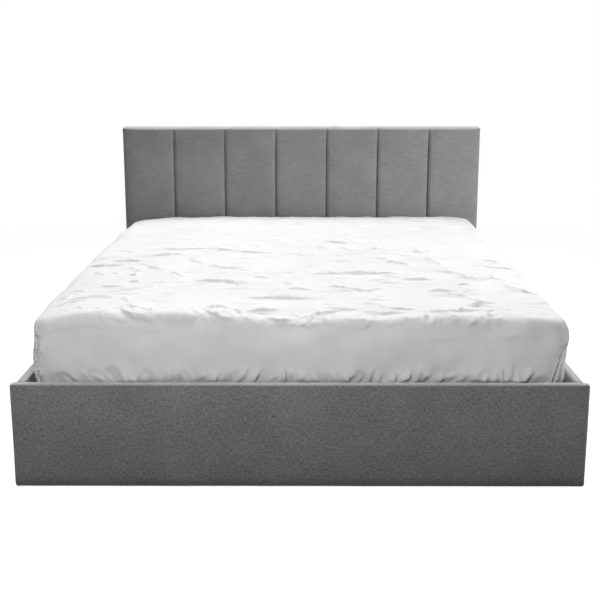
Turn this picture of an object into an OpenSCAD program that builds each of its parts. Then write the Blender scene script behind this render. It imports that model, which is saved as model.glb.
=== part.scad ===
// Upholstered storage bed with a padded headboard and a slatted platform that lifts at the foot end.
// Millimetres. The foot end faces -Y, the headboard stands at +Y and the floor is at z = 0.

/* [Mattress] */
// Width of the mattress in its fitted sheet
mattress_w = 1600; // [1200:10:1800]
// Length of the mattress in its fitted sheet
mattress_l = 2000; // [1900:10:2200]
// Thickness of the mattress at its middle
mattress_t = 250; // [180:5:300]
// Rise of the top from its edge to its middle
mattress_crown = 6; // [2:1:12]
// Rounding of the mattress at its upright corners
mattress_corner_r = 62; // [40:1:100]
// Rounding of the mattress along its top edge
mattress_edge_r = 48; // [25:1:60]
// Rounding of the mattress along its bottom edge
mattress_base_r = 26; // [12:1:45]
// Thickness of the fitted sheet
sheet_t = 2; // [1:0.5:3]
// Width of the sheet's hem under the mattress
sheet_hem = 90; // [50:5:140]

/* [Upholstered frame] */
// Height of the front panel and the side rails
panel_h = 315; // [260:5:380]
// Thickness of the board inside each panel
board_t = 18; // [12:1:25]
// Thickness of the foam on each face of a panel
foam_t = 4.5; // [3:0.5:8]
// Thickness of the fabric cover of a panel
cover_t = 1.5; // [1:0.5:2.5]
// Rounding of a panel's top edges
panel_edge_r = 6; // [3:1:9]
// Rounding of a panel's two top corners
panel_corner_r = 9; // [7:1:20]
// How far the front panel stands out past each side rail
front_overhang = 9; // [0:1:30]
// Gap between the mattress and a side rail
side_gap = 21; // [20:1:30]
// Gap between the mattress and the front panel
foot_gap = 14; // [12:1:40]
// Gap between the mattress and the headboard
head_gap = 20; // [16:1:40]
// How deep the mattress sits below the top of the rails
mattress_sink = 45; // [30:5:80]

/* [Headboard] */
// Height of the headboard above its glides
headboard_h = 940; // [800:10:1200]
// Depth of the headboard
headboard_t = 86; // [70:1:110]
// Number of upright channels
channels = 7; // [3:1:11]
// Depth of the seam between two channels
channel_depth = 13; // [6:1:18]
// Width over which a channel curves in to its seam
channel_reach = 24; // [12:1:40]
// Crown of a channel's face
channel_crown = 2.5; // [0:0.5:4]
// Dip of the top edge at each seam
seam_notch = 4; // [0:0.5:8]
// Rounding of the headboard's front top edge
headboard_edge_r = 20; // [12:1:30]
// Thickness of the quilted cover over the pads
pad_cover_t = 3; // [2:0.5:5]
// Width of the stitched tuck between two pads
tuck_w = 3; // [2:0.5:5]
// Height of the flat part below the pads
pad_base_h = 290; // [200:5:330]
// Width of the upright posts in the flat part
post_w = 60; // [40:5:90]
// Thickness of the dust cloth on the back
back_cloth_t = 1; // [0.5:0.5:2]
// How far the dust cloth stops short of the edges
back_cloth_inset = 12; // [5:1:30]

/* [Storage base] */
// Height of the glides under the frame
glide_h = 10; // [5:1:25]
// Radius of a glide
glide_r = 14; // [10:1:15]
// Thickness of a storage floor board
floor_t = 4; // [3:1:8]
// Width and height of the cleats that carry the floor
cleat = 20; // [15:1:24]
// Width of the centre batten
batten_w = 44; // [30:2:80]
// Gap round each floor board
floor_gap = 1.5; // [1:0.5:3]
// Leg of a corner bracket
bracket_leg = 24; // [20:1:25]
// Thickness of a corner bracket
bracket_t = 3; // [2:0.5:4]
// Height of a corner bracket
bracket_h = 180; // [100:5:195]
// Radius of a wood screw's shank
screw_r = 3; // [2:0.5:4]
// Radius of a wood screw's head
screw_head_r = 5.5; // [5:0.5:7]
// Height of a wood screw's head
screw_head_h = 3; // [2:0.5:3.5]
// Length of a wood screw in its board
screw_bite = 13; // [8:1:15]

/* [Platform] */
// Width and height of a platform tube
tube = 30; // [25:1:35]
// Wall of a platform tube
tube_wall = 1.5; // [1:0.5:3]
// How far the platform stops short of the mattress at each end
platform_inset = 10; // [5:1:30]
// Thickness of a slat
slat_t = 8; // [6:1:9]
// Width of a slat
slat_w = 63; // [40:1:80]
// Number of slats in each of the two columns
slats_per_column = 14; // [8:1:18]
// Thickness of a slat holder's base under its slat
holder_base = 2; // [1:0.5:3]
// Wall of a slat holder
holder_wall = 4; // [2:0.5:6]
// Length of a slat holder along its slat
holder_l = 42; // [30:1:50]
// Width of a mattress stop
stop_w = 120; // [60:5:200]
// Thickness of a mattress stop
stop_t = 2.5; // [2:0.5:4]
// How far a mattress stop stands up beside the mattress
stop_rise = 38; // [20:1:42]
// Width of the pull strap's webbing
strap_w = 38; // [25:1:50]
// Thickness of the doubled webbing
strap_t = 3; // [2:0.5:4]
// Thickness of a support block's ledge
block_h = 34; // [25:1:50]
// Length of a support block along its rail
block_l = 60; // [40:1:90]

/* [Lift linkage] */
// Thickness of a base plate
plate_t = 4; // [3:0.5:5]
// Width of a base plate's strip
plate_w = 56; // [44:1:70]
// Thickness of a lift arm
arm_t = 5; // [4:0.5:6]
// Half width of a lift arm and radius of its eyes
arm_r = 15; // [12:0.5:16]
// Radius of a pivot pin
pin_r = 5; // [4:0.5:6]
// Radial running clearance of a pivot pin
pin_fit = 0.08; // [0.05:0.01:0.1]
// Thickness of the wall of an arm's bush
bush_wall = 3; // [2:0.5:4]
// Radius of a pivot pin's head
pin_head_r = 9; // [8:0.5:11]
// Radius of the washers at the front arm's slack pivot
slack_washer_r = 14; // [13:0.5:15]
// Distance of the rear arm's fixed pivot from the mattress centre, towards the head
rear_pivot_y = 380; // [376:1:382]
// Height of the rear arm's fixed pivot
rear_pivot_z = 190; // [188:1:191]
// Distance of the rear arm's moving pivot from the mattress centre
rear_tip_y = 496; // [494:1:500]
// Height of the rear arm's moving pivot
rear_tip_z = 254; // [252:1:255]
// Distance of the front arm's fixed pivot from the mattress centre, towards the foot
front_pivot_back = 5; // [3:1:8]
// Height of the front arm's fixed pivot
front_pivot_z = 85; // [83:1:88]
// Distance of the platform's front pivot from the mattress centre
front_pin_y = 370; // [368:1:371]
// Height of the platform's front pivot
front_pin_z = 226; // [225:1:227]
// How far the front arm's eye sits towards the foot from its pin, with the platform down
eye_back = 2; // [1.5:0.1:2.4]
// How far the front arm's eye sits above its pin, with the platform down
eye_up = 2.5; // [2:0.1:2.6]
// Slack of the front arm's eye round its pin
eye_slack = 3.7; // [3.6:0.1:4.2]

/* [Gas struts] */
// Radius of a strut's cylinder
strut_r = 9; // [8:0.5:11]
// Wall of a strut's cylinder
strut_wall = 1.5; // [1:0.25:2]
// Radius of a strut's rod
rod_r = 4; // [3:0.5:5]
// Radius of the studs that carry a strut
stud_r = 4; // [3:0.5:5]
// Slack of a strut's upper eye round its stud
strut_slack = 4.4; // [4.3:0.1:4.8]
// Distance between a strut's eyes with the platform down
strut_l = 259.7; // [259:0.1:260.5]
// Length of a strut's cylinder
strut_body_l = 158; // [150:1:165]
// Rod travel kept for the whole lift
strut_travel = 87; // [87:1:90]
// Distance of a strut's lower stud from the mattress centre
strut_base_y = 460; // [458:1:462]
// Height of a strut's lower stud
strut_base_z = 65; // [63:1:67]
// Distance of the upper stud along the front arm from its fixed pivot
strut_reach = 250; // [248:1:252]
// Offset of the upper stud above the front arm's centre line
strut_offset = 6; // [5:0.5:7]

/* [Hidden] */
$fn = 48;

// Clearances between pieces that move past each other, and the overrun of cuts
soft_gap = 0.3;
side_play = 0.3;
bar_width_share = 0.9;
cut = 1;
screw_fit = 0.05;
free_fit = 0.5;

// Share of a panel layer's inset by which its edge rounding shrinks
inner_edge_share = 0.6;

// Heights
panel_t = board_t + 2 * foam_t + 2 * cover_t;
panel_top = glide_h + panel_h;
bed_z = panel_top - mattress_sink;
tube_top = bed_z - slat_t - holder_base;
tube_z = tube_top - tube;
floor_z = glide_h + cleat;

// Places along the bed
bed_l = panel_t + foot_gap + mattress_l + head_gap + headboard_t;
foot_y = -bed_l / 2;
panel_in_y = foot_y + panel_t;
centre_y = panel_in_y + foot_gap + mattress_l / 2;
head_face_y = centre_y + mattress_l / 2 + head_gap;
back_y = bed_l / 2;
rail_l = head_face_y - panel_in_y;
platform_y0 = centre_y - mattress_l / 2 + platform_inset;
platform_y1 = centre_y + mattress_l / 2 - platform_inset;

// Places across the bed
rail_in_x = mattress_w / 2 + side_gap;
rail_out_x = rail_in_x + panel_t;
panel_w = 2 * (rail_out_x + front_overhang);

// Layers of the linkage, from the rail inwards
plate_in_x = rail_in_x - plate_t;
arm_gap = 10;
arm_out_x = plate_in_x - arm_gap;
arm_in_x = arm_out_x - arm_t;
washer_t = 3;
bracket_out_x = arm_in_x - washer_t;
tube_out_x = bracket_out_x - plate_t;
tube_in_x = tube_out_x - tube;
pin_head_t = 2.6;
eye_t = 12;
strut_x = tube_out_x - tube / 2;

// Pivots, as distance from the mattress centre and height
rear_pivot = [rear_pivot_y, rear_pivot_z];
rear_tip = [rear_tip_y, rear_tip_z];
front_pivot = [-front_pivot_back, front_pivot_z];
front_pin = [front_pin_y, front_pin_z];
front_tip = front_pin + [-eye_back, eye_up];
strut_base = [strut_base_y, strut_base_z];
arm_dir = (front_tip - front_pivot) / norm(front_tip - front_pivot);
strut_stud = front_pivot + strut_reach * arm_dir + strut_offset * [-arm_dir[1], arm_dir[0]];
// Turn of the drawn strut from the line to its stud, which halves the slack that it needs
strut_lag = 0.802;
strut_angle = atan2(strut_stud[1] - strut_base[1], strut_stud[0] - strut_base[0]) - strut_lag;

// Base plate
plate_z = front_pivot_z + arm_r - plate_w;
plate_from = front_pivot[0] - arm_r - screw_head_r;
plate_to = strut_base_y + plate_w / 2;
plate_screw_shares = [0.13, 0.38, 0.62, 0.8];
plate_screw_height_share = 0.3;
pivot_tab_share = 1.6;

// Screws of the corner brackets
bracket_z = floor_z + floor_t + free_fit + panel_edge_r;
bracket_screw_shares = [0.2, 0.8];
bracket_screw_in_share = 0.6;
bracket_screw_in = bracket_screw_in_share * bracket_leg;

// Headboard
headboard_top = glide_h + headboard_h;
head_board_y = back_y - back_cloth_t - board_t;
channel_w = 2 * rail_out_x / channels;
channel_steps = 12;
lower_face_y = head_face_y + cover_t;
post_y = lower_face_y + board_t;
lower_h = pad_base_h - cover_t;

// Slats
slat_pitch = (mattress_l - 2 * platform_inset - 2 * tube) / slats_per_column;
slat_outer_share = 0.15;
slat_inner_share = 0.08;
slat_outer_x = tube_out_x - slat_outer_share * tube;
slat_inner_x = slat_inner_share * tube;
slat_ys = [for (i = [0 : slats_per_column - 1]) platform_y0 + tube + (i + 0.5) * slat_pitch];

// Places along the mattress, and across it, as shares of its length and width
block_shares = [-0.45, -0.22];
side_glide_shares = [-0.25, 0, 0.25];
centre_glide_shares = [-0.35, 0, 0.35];
cross_tube_shares = [-0.17, 0.17];
stop_place_share = 0.25;

// Mattress stops and pull strap
step_rise_share = 1 / 3;
strap_foot_share = 0.25;

// Gas struts
strut_eye_r = 11;
strut_body_from = strut_eye_r + strut_wall;
strut_body_to = strut_body_from + strut_body_l;
strut_guide = 12;
piston_l = 9;
piston_at = strut_body_to - strut_guide - strut_travel - 2 * piston_l;
upper_eye_wall = 6;
upper_eye_r = stud_r + strut_slack + upper_eye_wall;

// Mattress
base_arc_steps = 3;
edge_arc_steps = 5;
corner_steps = 7;
crown_shares = [0.35, 0.7];
least_corner_share = 0.25;

// Colours
fabric_grey = [0.42, 0.43, 0.45];
fabric_dark = [0.31, 0.31, 0.33];
foam_colour = [0.93, 0.89, 0.74];
board_colour = [0.78, 0.63, 0.44];
steel_black = [0.13, 0.13, 0.14];
steel_bright = [0.72, 0.73, 0.75];
plastic_black = [0.08, 0.08, 0.09];
sheet_white = [0.96, 0.96, 0.97];

// Draws its children on the right side, or mirrored on the left
module on_side(side) {
  if (side < 0) mirror([1, 0, 0]) children();
  else children();
}

// Moves from the mattress centre, in distance and height
module at_pivot(p) {
  translate([0, centre_y + p[0], p[1]]) children();
}

// A disc or ring along X from x0 to x1
module x_disc(x0, x1, r) {
  translate([x0, 0, 0]) rotate([0, 90, 0]) cylinder(h = x1 - x0, r = r);
}

// A flat shape drawn in distance and height, from x0 to x1
module x_plate(x0, x1) {
  translate([x0, centre_y, 0]) rotate([90, 0, 90]) linear_extrude(x1 - x0) children();
}

// A bar with round eyes, a little wider than the bar, at two points
module bar_2d(p, q, r) {
  d = q - p;
  w = r * bar_width_share;
  translate(p) circle(r);
  translate(q) circle(r);
  translate(p) rotate(atan2(d[1], d[0])) translate([0, -w]) square([norm(d), 2 * w]);
}

// A wood screw that points along -Z from its seat at z = 0
module wood_screw(grip) {
  translate([0, 0, -grip - screw_bite]) cylinder(h = grip + screw_bite, r = screw_r);
  cylinder(h = screw_head_h, r = screw_head_r);
}

// A hole for a wood screw, from just above its seat to the depth given
module screw_hole(depth, fit) {
  translate([0, 0, -depth]) cylinder(h = depth + cut, r = screw_r + fit);
}

// Screws that go outwards into the right side rail, seated at the face x
module rail_screws(lift) {
  for (s = bracket_screw_shares, y = [panel_in_y + bracket_screw_in, head_face_y - bracket_screw_in])
    translate([rail_in_x - lift * bracket_t, y, bracket_z + s * bracket_h])
      rotate([0, -90, 0]) children();
  z = plate_z + plate_screw_height_share * plate_w;
  for (s = plate_screw_shares)
    translate([rail_in_x - lift * plate_t, centre_y + plate_from + s * (plate_to - plate_from), z])
      rotate([0, -90, 0]) children();
}

// Screws that go into the front panel at its right corner
module foot_screws(lift) {
  for (s = bracket_screw_shares)
    translate([rail_in_x - bracket_screw_in, panel_in_y + lift * bracket_t, bracket_z + s * bracket_h])
      rotate([-90, 0, 0]) children();
}

// Screws that go into the headboard at its right corner
module head_screws(lift) {
  for (s = bracket_screw_shares)
    translate([rail_in_x - bracket_screw_in, head_face_y - lift * bracket_t, bracket_z + s * bracket_h])
      rotate([90, 0, 0]) children();
}

// Cross section of a panel layer, set in from the outside by d, with its top edges rounded
module panel_section(d, low) {
  w = panel_t - 2 * d;
  h = panel_h - d;
  r = panel_edge_r - d * inner_edge_share;
  translate([-w / 2, low]) square([w, h - low - r]);
  translate([-w / 2 + r, low]) square([w - 2 * r, h - low]);
  translate([-w / 2 + r, h - r]) circle(r);
  translate([w / 2 - r, h - r]) circle(r);
}

// Front outline of a panel layer, with its two top corners rounded
module panel_outline(l, d, low) {
  w = l - 2 * d;
  h = panel_h - d;
  r = panel_corner_r - d;
  translate([-w / 2, low]) square([w, h - low - r]);
  translate([-w / 2 + r, low]) square([w - 2 * r, h - low]);
  translate([-w / 2 + r, h - r]) circle(r);
  translate([w / 2 - r, h - r]) circle(r);
}

// One layer of a panel that runs along X, centred, with its foot at z = 0
module panel_layer(l, d, low) {
  intersection() {
    translate([-l / 2, 0, 0]) rotate([90, 0, 90]) linear_extrude(l) panel_section(d, low);
    translate([0, panel_t / 2 + cut, 0]) rotate([90, 0, 0]) linear_extrude(panel_t + 2 * cut)
      panel_outline(l, d, low);
  }
}

// The board inside a panel
module panel_board(l) {
  d = foam_t + cover_t;
  translate([-l / 2 + d, -board_t / 2, 0]) cube([l - 2 * d, board_t, panel_h - d]);
}

// The foam round a panel's board
module panel_foam(l) {
  difference() {
    panel_layer(l, cover_t, cover_t);
    panel_board(l);
  }
}

// The fabric round a panel, with its hem turned under the foam
module panel_cover(l) {
  difference() {
    panel_layer(l, 0, 0);
    panel_layer(l, cover_t, cover_t);
    panel_board(l);
  }
}

module place_front_panel() {
  translate([0, foot_y + panel_t / 2, glide_h]) children();
}

module place_side_rail() {
  translate([rail_in_x + panel_t / 2, (panel_in_y + head_face_y) / 2, glide_h]) rotate(90) children();
}

module front_panel_board() {
  color(board_colour) difference() {
    place_front_panel() panel_board(panel_w);
    for (side = [-1, 1]) on_side(side) foot_screws(0) screw_hole(foam_t + cover_t + screw_bite, screw_fit);
  }
}

module front_panel_foam() {
  color(foam_colour) difference() {
    place_front_panel() panel_foam(panel_w);
    for (side = [-1, 1]) on_side(side) foot_screws(0) screw_hole(foam_t + cover_t + cut, free_fit);
  }
}

module front_panel_cover() {
  color(fabric_dark) difference() {
    place_front_panel() panel_cover(panel_w);
    for (side = [-1, 1]) on_side(side) foot_screws(0) screw_hole(cover_t + cut, free_fit);
  }
}

module side_rail_board(side) {
  color(board_colour) on_side(side) difference() {
    place_side_rail() panel_board(rail_l);
    rail_screws(0) screw_hole(foam_t + cover_t + screw_bite, screw_fit);
  }
}

module side_rail_foam(side) {
  color(foam_colour) on_side(side) difference() {
    place_side_rail() panel_foam(rail_l);
    rail_screws(0) screw_hole(foam_t + cover_t + cut, free_fit);
  }
}

module side_rail_cover(side) {
  color(fabric_grey) on_side(side) difference() {
    place_side_rail() panel_cover(rail_l);
    rail_screws(0) screw_hole(cover_t + cut, free_fit);
  }
}

// How far a channel's face lies back at u, from -1 at one seam to 1 at the next
function channel_dip(u) =
  let (flat = 1 - 2 * channel_reach / channel_w, e = max(0, (abs(u) - flat) / (1 - flat)))
  channel_crown * u * u + (channel_depth - channel_crown) * (1 - sqrt(max(0, 1 - e * e)));

// Places across a channel, closer together where it curves in to its seams
function channel_us() =
  let (flat = 1 - 2 * channel_reach / channel_w, half = channel_steps / 2)
  concat([for (i = [0 : half]) -1 + (1 - flat) * (1 - cos(90 * i / half))],
         [for (i = [1 : half - 1]) -flat + 2 * flat * i / half],
         [for (i = [0 : half]) 1 - (1 - flat) * (1 - sin(90 * i / half))]);

// Plan outline of the channels' front, set back by d, between two channels
function channel_front(d) =
  [for (i = [0 : channels - 1], u = channel_us())
    if (i == 0 || u > -1)
      [-rail_out_x + (i + 0.5 + u / 2) * channel_w, head_face_y + d + channel_dip(u)]];

// Front outline of the channels' top edge, set down by d
function channel_top(d) =
  [for (i = [0 : channels - 1], u = channel_us())
    if (i == 0 || u > -1)
      [-rail_out_x + (i + 0.5 + u / 2) * channel_w,
       headboard_top - d - seam_notch * channel_dip(u) / channel_depth]];

// The padded part of the headboard, set in from the outside by d, from z0 up to y1
module padded_block(d, z0, y1) {
  z1 = headboard_top + cut;
  r = headboard_edge_r - d;
  intersection() {
    translate([0, 0, z0]) linear_extrude(z1 - z0)
      polygon(concat(channel_front(d), [[rail_out_x, y1], [-rail_out_x, y1]]));
    translate([0, y1 + cut, 0]) rotate([90, 0, 0]) linear_extrude(headboard_t + 2 * cut)
      polygon(concat(channel_top(d), [[rail_out_x, z0 - cut], [-rail_out_x, z0 - cut]]));
    translate([-rail_out_x + d, 0, 0]) rotate([90, 0, 90]) linear_extrude(2 * (rail_out_x - d)) {
      translate([head_face_y + d, z0]) square([headboard_t, headboard_top - d - r - z0]);
      translate([head_face_y + d + r, z0]) square([headboard_t, headboard_top - d - z0]);
      translate([head_face_y + d + r, headboard_top - d - r]) circle(r);
    }
  }
}

module foam_pads() {
  z0 = glide_h + pad_base_h;
  difference() {
    padded_block(pad_cover_t, z0, head_board_y);
    for (i = [1 : channels - 1])
      translate([-rail_out_x + i * channel_w - tuck_w / 2, head_face_y, z0 - cut])
        cube([tuck_w, headboard_t, headboard_h]);
  }
}

module headboard_board() {
  color(board_colour) translate([-rail_out_x + pad_cover_t, head_board_y, glide_h])
    cube([2 * (rail_out_x - pad_cover_t), board_t, headboard_h - pad_cover_t - seam_notch]);
}

module lower_board() {
  translate([-rail_out_x + pad_cover_t, lower_face_y, glide_h])
    cube([2 * (rail_out_x - pad_cover_t), board_t, lower_h]);
}

module headboard_lower_board() {
  color(board_colour) difference() {
    lower_board();
    for (side = [-1, 1]) on_side(side) head_screws(0) screw_hole(cover_t + screw_bite, screw_fit);
  }
}

module headboard_posts() {
  color(board_colour) for (side = [-1, 1]) on_side(side)
    translate([rail_out_x - pad_cover_t - post_w, post_y, glide_h])
      cube([post_w, head_board_y - post_y, lower_h]);
}

module headboard_foam_pads() {
  color(foam_colour) foam_pads();
}

module headboard_cover() {
  color(fabric_grey) difference() {
    union() {
      padded_block(0, glide_h + pad_base_h, back_y - back_cloth_t);
      translate([-rail_out_x, head_face_y, glide_h])
        cube([2 * rail_out_x, headboard_t - back_cloth_t, pad_base_h]);
    }
    foam_pads();
    headboard_board();
    translate([-rail_out_x + pad_cover_t, lower_face_y, glide_h - cut])
      cube([2 * (rail_out_x - pad_cover_t), head_board_y - lower_face_y, lower_h + cut]);
    translate([-rail_out_x + pad_cover_t, head_board_y, glide_h - cut])
      cube([2 * (rail_out_x - pad_cover_t), board_t + cut, 2 * cut]);
    for (side = [-1, 1]) on_side(side) head_screws(0) screw_hole(cover_t + cut, free_fit);
  }
}

module headboard_back_cloth() {
  color(plastic_black) translate([-rail_out_x + back_cloth_inset, back_y - back_cloth_t, glide_h])
    cube([2 * (rail_out_x - back_cloth_inset), back_cloth_t, headboard_h - back_cloth_inset]);
}

// One corner bracket in the right front corner, drawn with its corner at the origin
module corner_bracket() {
  difference() {
    union() {
      translate([-bracket_leg, 0, 0]) cube([bracket_leg, bracket_t, bracket_h]);
      translate([-bracket_t, 0, 0]) cube([bracket_t, bracket_leg, bracket_h]);
    }
    for (s = bracket_screw_shares) {
      translate([-bracket_screw_in, bracket_t, s * bracket_h]) rotate([-90, 0, 0])
        screw_hole(bracket_t + cut, free_fit);
      translate([-bracket_t, bracket_screw_in, s * bracket_h]) rotate([0, -90, 0])
        screw_hole(bracket_t + cut, free_fit);
    }
  }
}

module corner_brackets() {
  color(steel_black) for (side = [-1, 1]) on_side(side) {
    translate([rail_in_x, panel_in_y, bracket_z]) corner_bracket();
    translate([rail_in_x, head_face_y, bracket_z]) mirror([0, 1, 0]) corner_bracket();
  }
}

module frame_screws() {
  color(steel_bright) for (side = [-1, 1]) on_side(side) {
    rail_screws(1) wood_screw(foam_t + cover_t + bracket_t);
    foot_screws(1) wood_screw(foam_t + cover_t + bracket_t);
    head_screws(1) wood_screw(cover_t);
  }
}

module glide(x, y) {
  translate([x, y, 0]) cylinder(h = glide_h, r = glide_r);
}

module glide_feet() {
  x = rail_in_x + panel_t / 2;
  color(plastic_black) {
    for (side = [-1, 1]) {
      glide(side * x, panel_in_y + panel_t / 2);
      glide(side * (x - panel_t), back_y - panel_t / 2);
      for (s = side_glide_shares) glide(side * x, centre_y + s * mattress_l);
    }
    for (s = centre_glide_shares) glide(0, centre_y + s * mattress_l);
  }
}

// One half of the storage floor
module storage_floor(side) {
  color(board_colour) on_side(side)
    translate([floor_gap / 2, panel_in_y + floor_gap, floor_z])
      cube([rail_in_x - 1.5 * floor_gap, rail_l - 2 * floor_gap, floor_t]);
}

module floor_cleats() {
  color(board_colour) {
    for (side = [-1, 1]) on_side(side)
      translate([rail_in_x - cleat, panel_in_y, glide_h]) cube([cleat, rail_l, cleat]);
    for (y = [panel_in_y, head_face_y - cleat], side = [-1, 1]) on_side(side)
      translate([batten_w / 2 + floor_gap, y, glide_h])
        cube([rail_in_x - cleat - batten_w / 2 - 2 * floor_gap, cleat, cleat]);
  }
}

module floor_centre_batten() {
  color(board_colour) translate([-batten_w / 2, panel_in_y, glide_h]) cube([batten_w, rail_l, cleat]);
}

// Flat shape of a base plate: a strip along the rail and a tab up to the rear pivot
module base_plate_2d() {
  translate([plate_from, plate_z]) square([plate_to - plate_from, plate_w]);
  bar_2d([rear_pivot_y, plate_z + plate_w / 2], rear_pivot, pivot_tab_share * arm_r);
}

module base_plate(side) {
  color(steel_black) on_side(side) difference() {
    x_plate(plate_in_x, rail_in_x) base_plate_2d();
    for (p = [rear_pivot, front_pivot])
      at_pivot(p) x_disc(plate_in_x - cut, rail_in_x + cut, pin_r + screw_fit);
    at_pivot(strut_base) x_disc(plate_in_x - cut, rail_in_x + cut, stud_r + screw_fit);
    rail_screws(1) screw_hole(plate_t + cut, free_fit);
  }
}

// A pin fixed in the base plate, with a head that keeps its arm on
module base_pin() {
  x_disc(bracket_out_x + side_play, rail_in_x, pin_r);
  x_disc(bracket_out_x + side_play, arm_in_x - side_play, pin_head_r);
}

module base_pivot_pins() {
  color(steel_bright) for (side = [-1, 1]) on_side(side) {
    at_pivot(rear_pivot) base_pin();
    at_pivot(front_pivot) base_pin();
  }
}

// A stud with a collar and a head that holds a strut's eye in the plane strut_x
module strut_stud(x1, cap_r) {
  x_disc(strut_x - eye_t / 2 - pin_head_t - side_play, x1, stud_r);
  x_disc(strut_x - eye_t / 2 - pin_head_t - side_play, strut_x - eye_t / 2 - side_play, cap_r);
  x_disc(strut_x + eye_t / 2 + side_play, strut_x + eye_t / 2 + side_play + pin_head_t, cap_r);
}

module strut_lower_studs() {
  color(steel_bright) for (side = [-1, 1]) on_side(side)
    at_pivot(strut_base) strut_stud(rail_in_x, pin_head_r);
}

module support_blocks() {
  color(plastic_black) for (side = [-1, 1]) on_side(side) for (s = block_shares)
    translate([tube_in_x, centre_y + s * mattress_l - block_l / 2, tube_z - soft_gap - block_h])
      cube([rail_in_x - tube_in_x, block_l, block_h]);
}

// An arm's bush, from the arm's inner face almost to the base plate
module arm_bush(p) {
  at_pivot(p) difference() {
    x_disc(arm_in_x, plate_in_x - side_play, pin_r + bush_wall);
    x_disc(arm_in_x - cut, plate_in_x + cut, pin_r + pin_fit);
  }
}

module rear_arm(side) {
  color(steel_black) on_side(side) difference() {
    x_plate(arm_in_x, arm_out_x) bar_2d(rear_pivot, rear_tip, arm_r);
    at_pivot(rear_pivot) x_disc(arm_in_x - cut, arm_out_x + cut, pin_r + bush_wall);
    at_pivot(rear_tip) x_disc(arm_in_x - cut, arm_out_x + cut, pin_r + pin_fit);
  }
}

module rear_arm_bush(side) {
  color(steel_bright) on_side(side) arm_bush(rear_pivot);
}

module front_arm(side) {
  color(steel_black) on_side(side) difference() {
    x_plate(arm_in_x, arm_out_x) bar_2d(front_pivot, front_tip, arm_r);
    at_pivot(front_pivot) x_disc(arm_in_x - cut, arm_out_x + cut, pin_r + bush_wall);
    at_pivot(front_tip) x_disc(arm_in_x - cut, arm_out_x + cut, pin_r + eye_slack);
    at_pivot(strut_stud) x_disc(arm_in_x - cut, arm_out_x + cut, stud_r + screw_fit);
  }
}

module front_arm_bush(side) {
  color(steel_bright) on_side(side) arm_bush(front_pivot);
}

module strut_upper_stud(side) {
  color(steel_bright) on_side(side) at_pivot(strut_stud)
    strut_stud(arm_out_x, stud_r + 2 * strut_slack);
}

// A square tube of the given length along Y, from the origin
module tube_y(l) {
  rotate([-90, 0, 0]) linear_extrude(l) difference() {
    translate([0, -tube]) square(tube);
    translate([tube_wall, -tube + tube_wall]) square(tube - 2 * tube_wall);
  }
}

// A square tube of the given length along X, from the origin
module tube_x(l) {
  rotate([90, 0, 90]) linear_extrude(l) difference() {
    square(tube);
    translate([tube_wall, tube_wall]) square(tube - 2 * tube_wall);
  }
}

module platform_tube(side) {
  color(steel_black) on_side(side)
    translate([tube_in_x, platform_y0, tube_z]) tube_y(platform_y1 - platform_y0);
}

module platform_tube_head() {
  color(steel_black) translate([-tube_in_x, platform_y1 - tube, tube_z]) tube_x(2 * tube_in_x);
}

module platform_tube_foot() {
  color(steel_black) translate([-tube_in_x, platform_y0, tube_z]) tube_x(2 * tube_in_x);
}

module platform_centre_beam() {
  color(steel_black) translate([-tube / 2, platform_y0 + tube, tube_z])
    tube_y(platform_y1 - platform_y0 - 2 * tube);
}

module platform_cross_tubes() {
  color(steel_black) for (side = [-1, 1], s = cross_tube_shares) on_side(side)
    translate([tube / 2, centre_y + s * mattress_l - tube / 2, tube_z]) tube_x(tube_in_x - tube / 2);
}

// Flat shape of the bracket that carries the platform's two pivots
module platform_bracket_2d() {
  translate([front_pin_y - arm_r, tube_z])
    square([rear_tip_y - front_pin_y + 2 * arm_r, tube_top - tube_z]);
  bar_2d(front_pin, [front_pin_y, tube_z + arm_r], arm_r);
}

module platform_bracket(side) {
  color(steel_black) on_side(side) difference() {
    x_plate(tube_out_x, bracket_out_x) platform_bracket_2d();
    for (p = [rear_tip, front_pin])
      at_pivot(p) x_disc(tube_out_x - cut, bracket_out_x + cut, pin_r + screw_fit);
  }
}

// A pin fixed in the platform bracket, with a washer inside the arm and a head outside it
module platform_pin(washer_r) {
  x_disc(tube_out_x, arm_out_x + side_play + pin_head_t, pin_r);
  x_disc(bracket_out_x, arm_in_x - side_play, washer_r);
  x_disc(arm_out_x + side_play, arm_out_x + side_play + pin_head_t, washer_r);
}

module platform_pivot_pins() {
  color(steel_bright) for (side = [-1, 1]) on_side(side) {
    at_pivot(rear_tip) platform_pin(pin_head_r);
    at_pivot(front_pin) platform_pin(slack_washer_r);
  }
}

module slats() {
  color(board_colour) for (side = [-1, 1], y = slat_ys) on_side(side)
    translate([slat_inner_x + holder_wall, y - slat_w / 2, tube_top + holder_base])
      cube([slat_outer_x - slat_inner_x - 2 * holder_wall, slat_w, slat_t]);
}

// A holder for one slat end, with its closed end at x = 0 and its mouth towards +X
module slat_holder() {
  h = holder_base + slat_t - soft_gap;
  difference() {
    translate([0, -slat_w / 2 - holder_wall, 0]) cube([holder_l, slat_w + 2 * holder_wall, h]);
    translate([holder_wall, -slat_w / 2, holder_base]) cube([holder_l, slat_w, slat_t]);
  }
}

module slat_holders() {
  color(plastic_black) for (side = [-1, 1], y = slat_ys) on_side(side) {
    translate([slat_inner_x, y, tube_top]) slat_holder();
    translate([slat_outer_x, y, tube_top]) mirror([1, 0, 0]) slat_holder();
  }
}

// Side view of a mattress stop: it runs up the foot tube, steps out and stands beside the mattress
function stop_outline() =
  let (out = platform_inset + soft_gap + stop_t, top = tube + holder_base + slat_t + stop_rise,
       step = step_rise_share * out)
  [[0, 0], [-stop_t, 0], [-stop_t, tube - stop_t], [-out, tube - stop_t + step], [-out, top],
   [-out + stop_t, top], [-out + stop_t, tube + step], [0, tube]];

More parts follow.
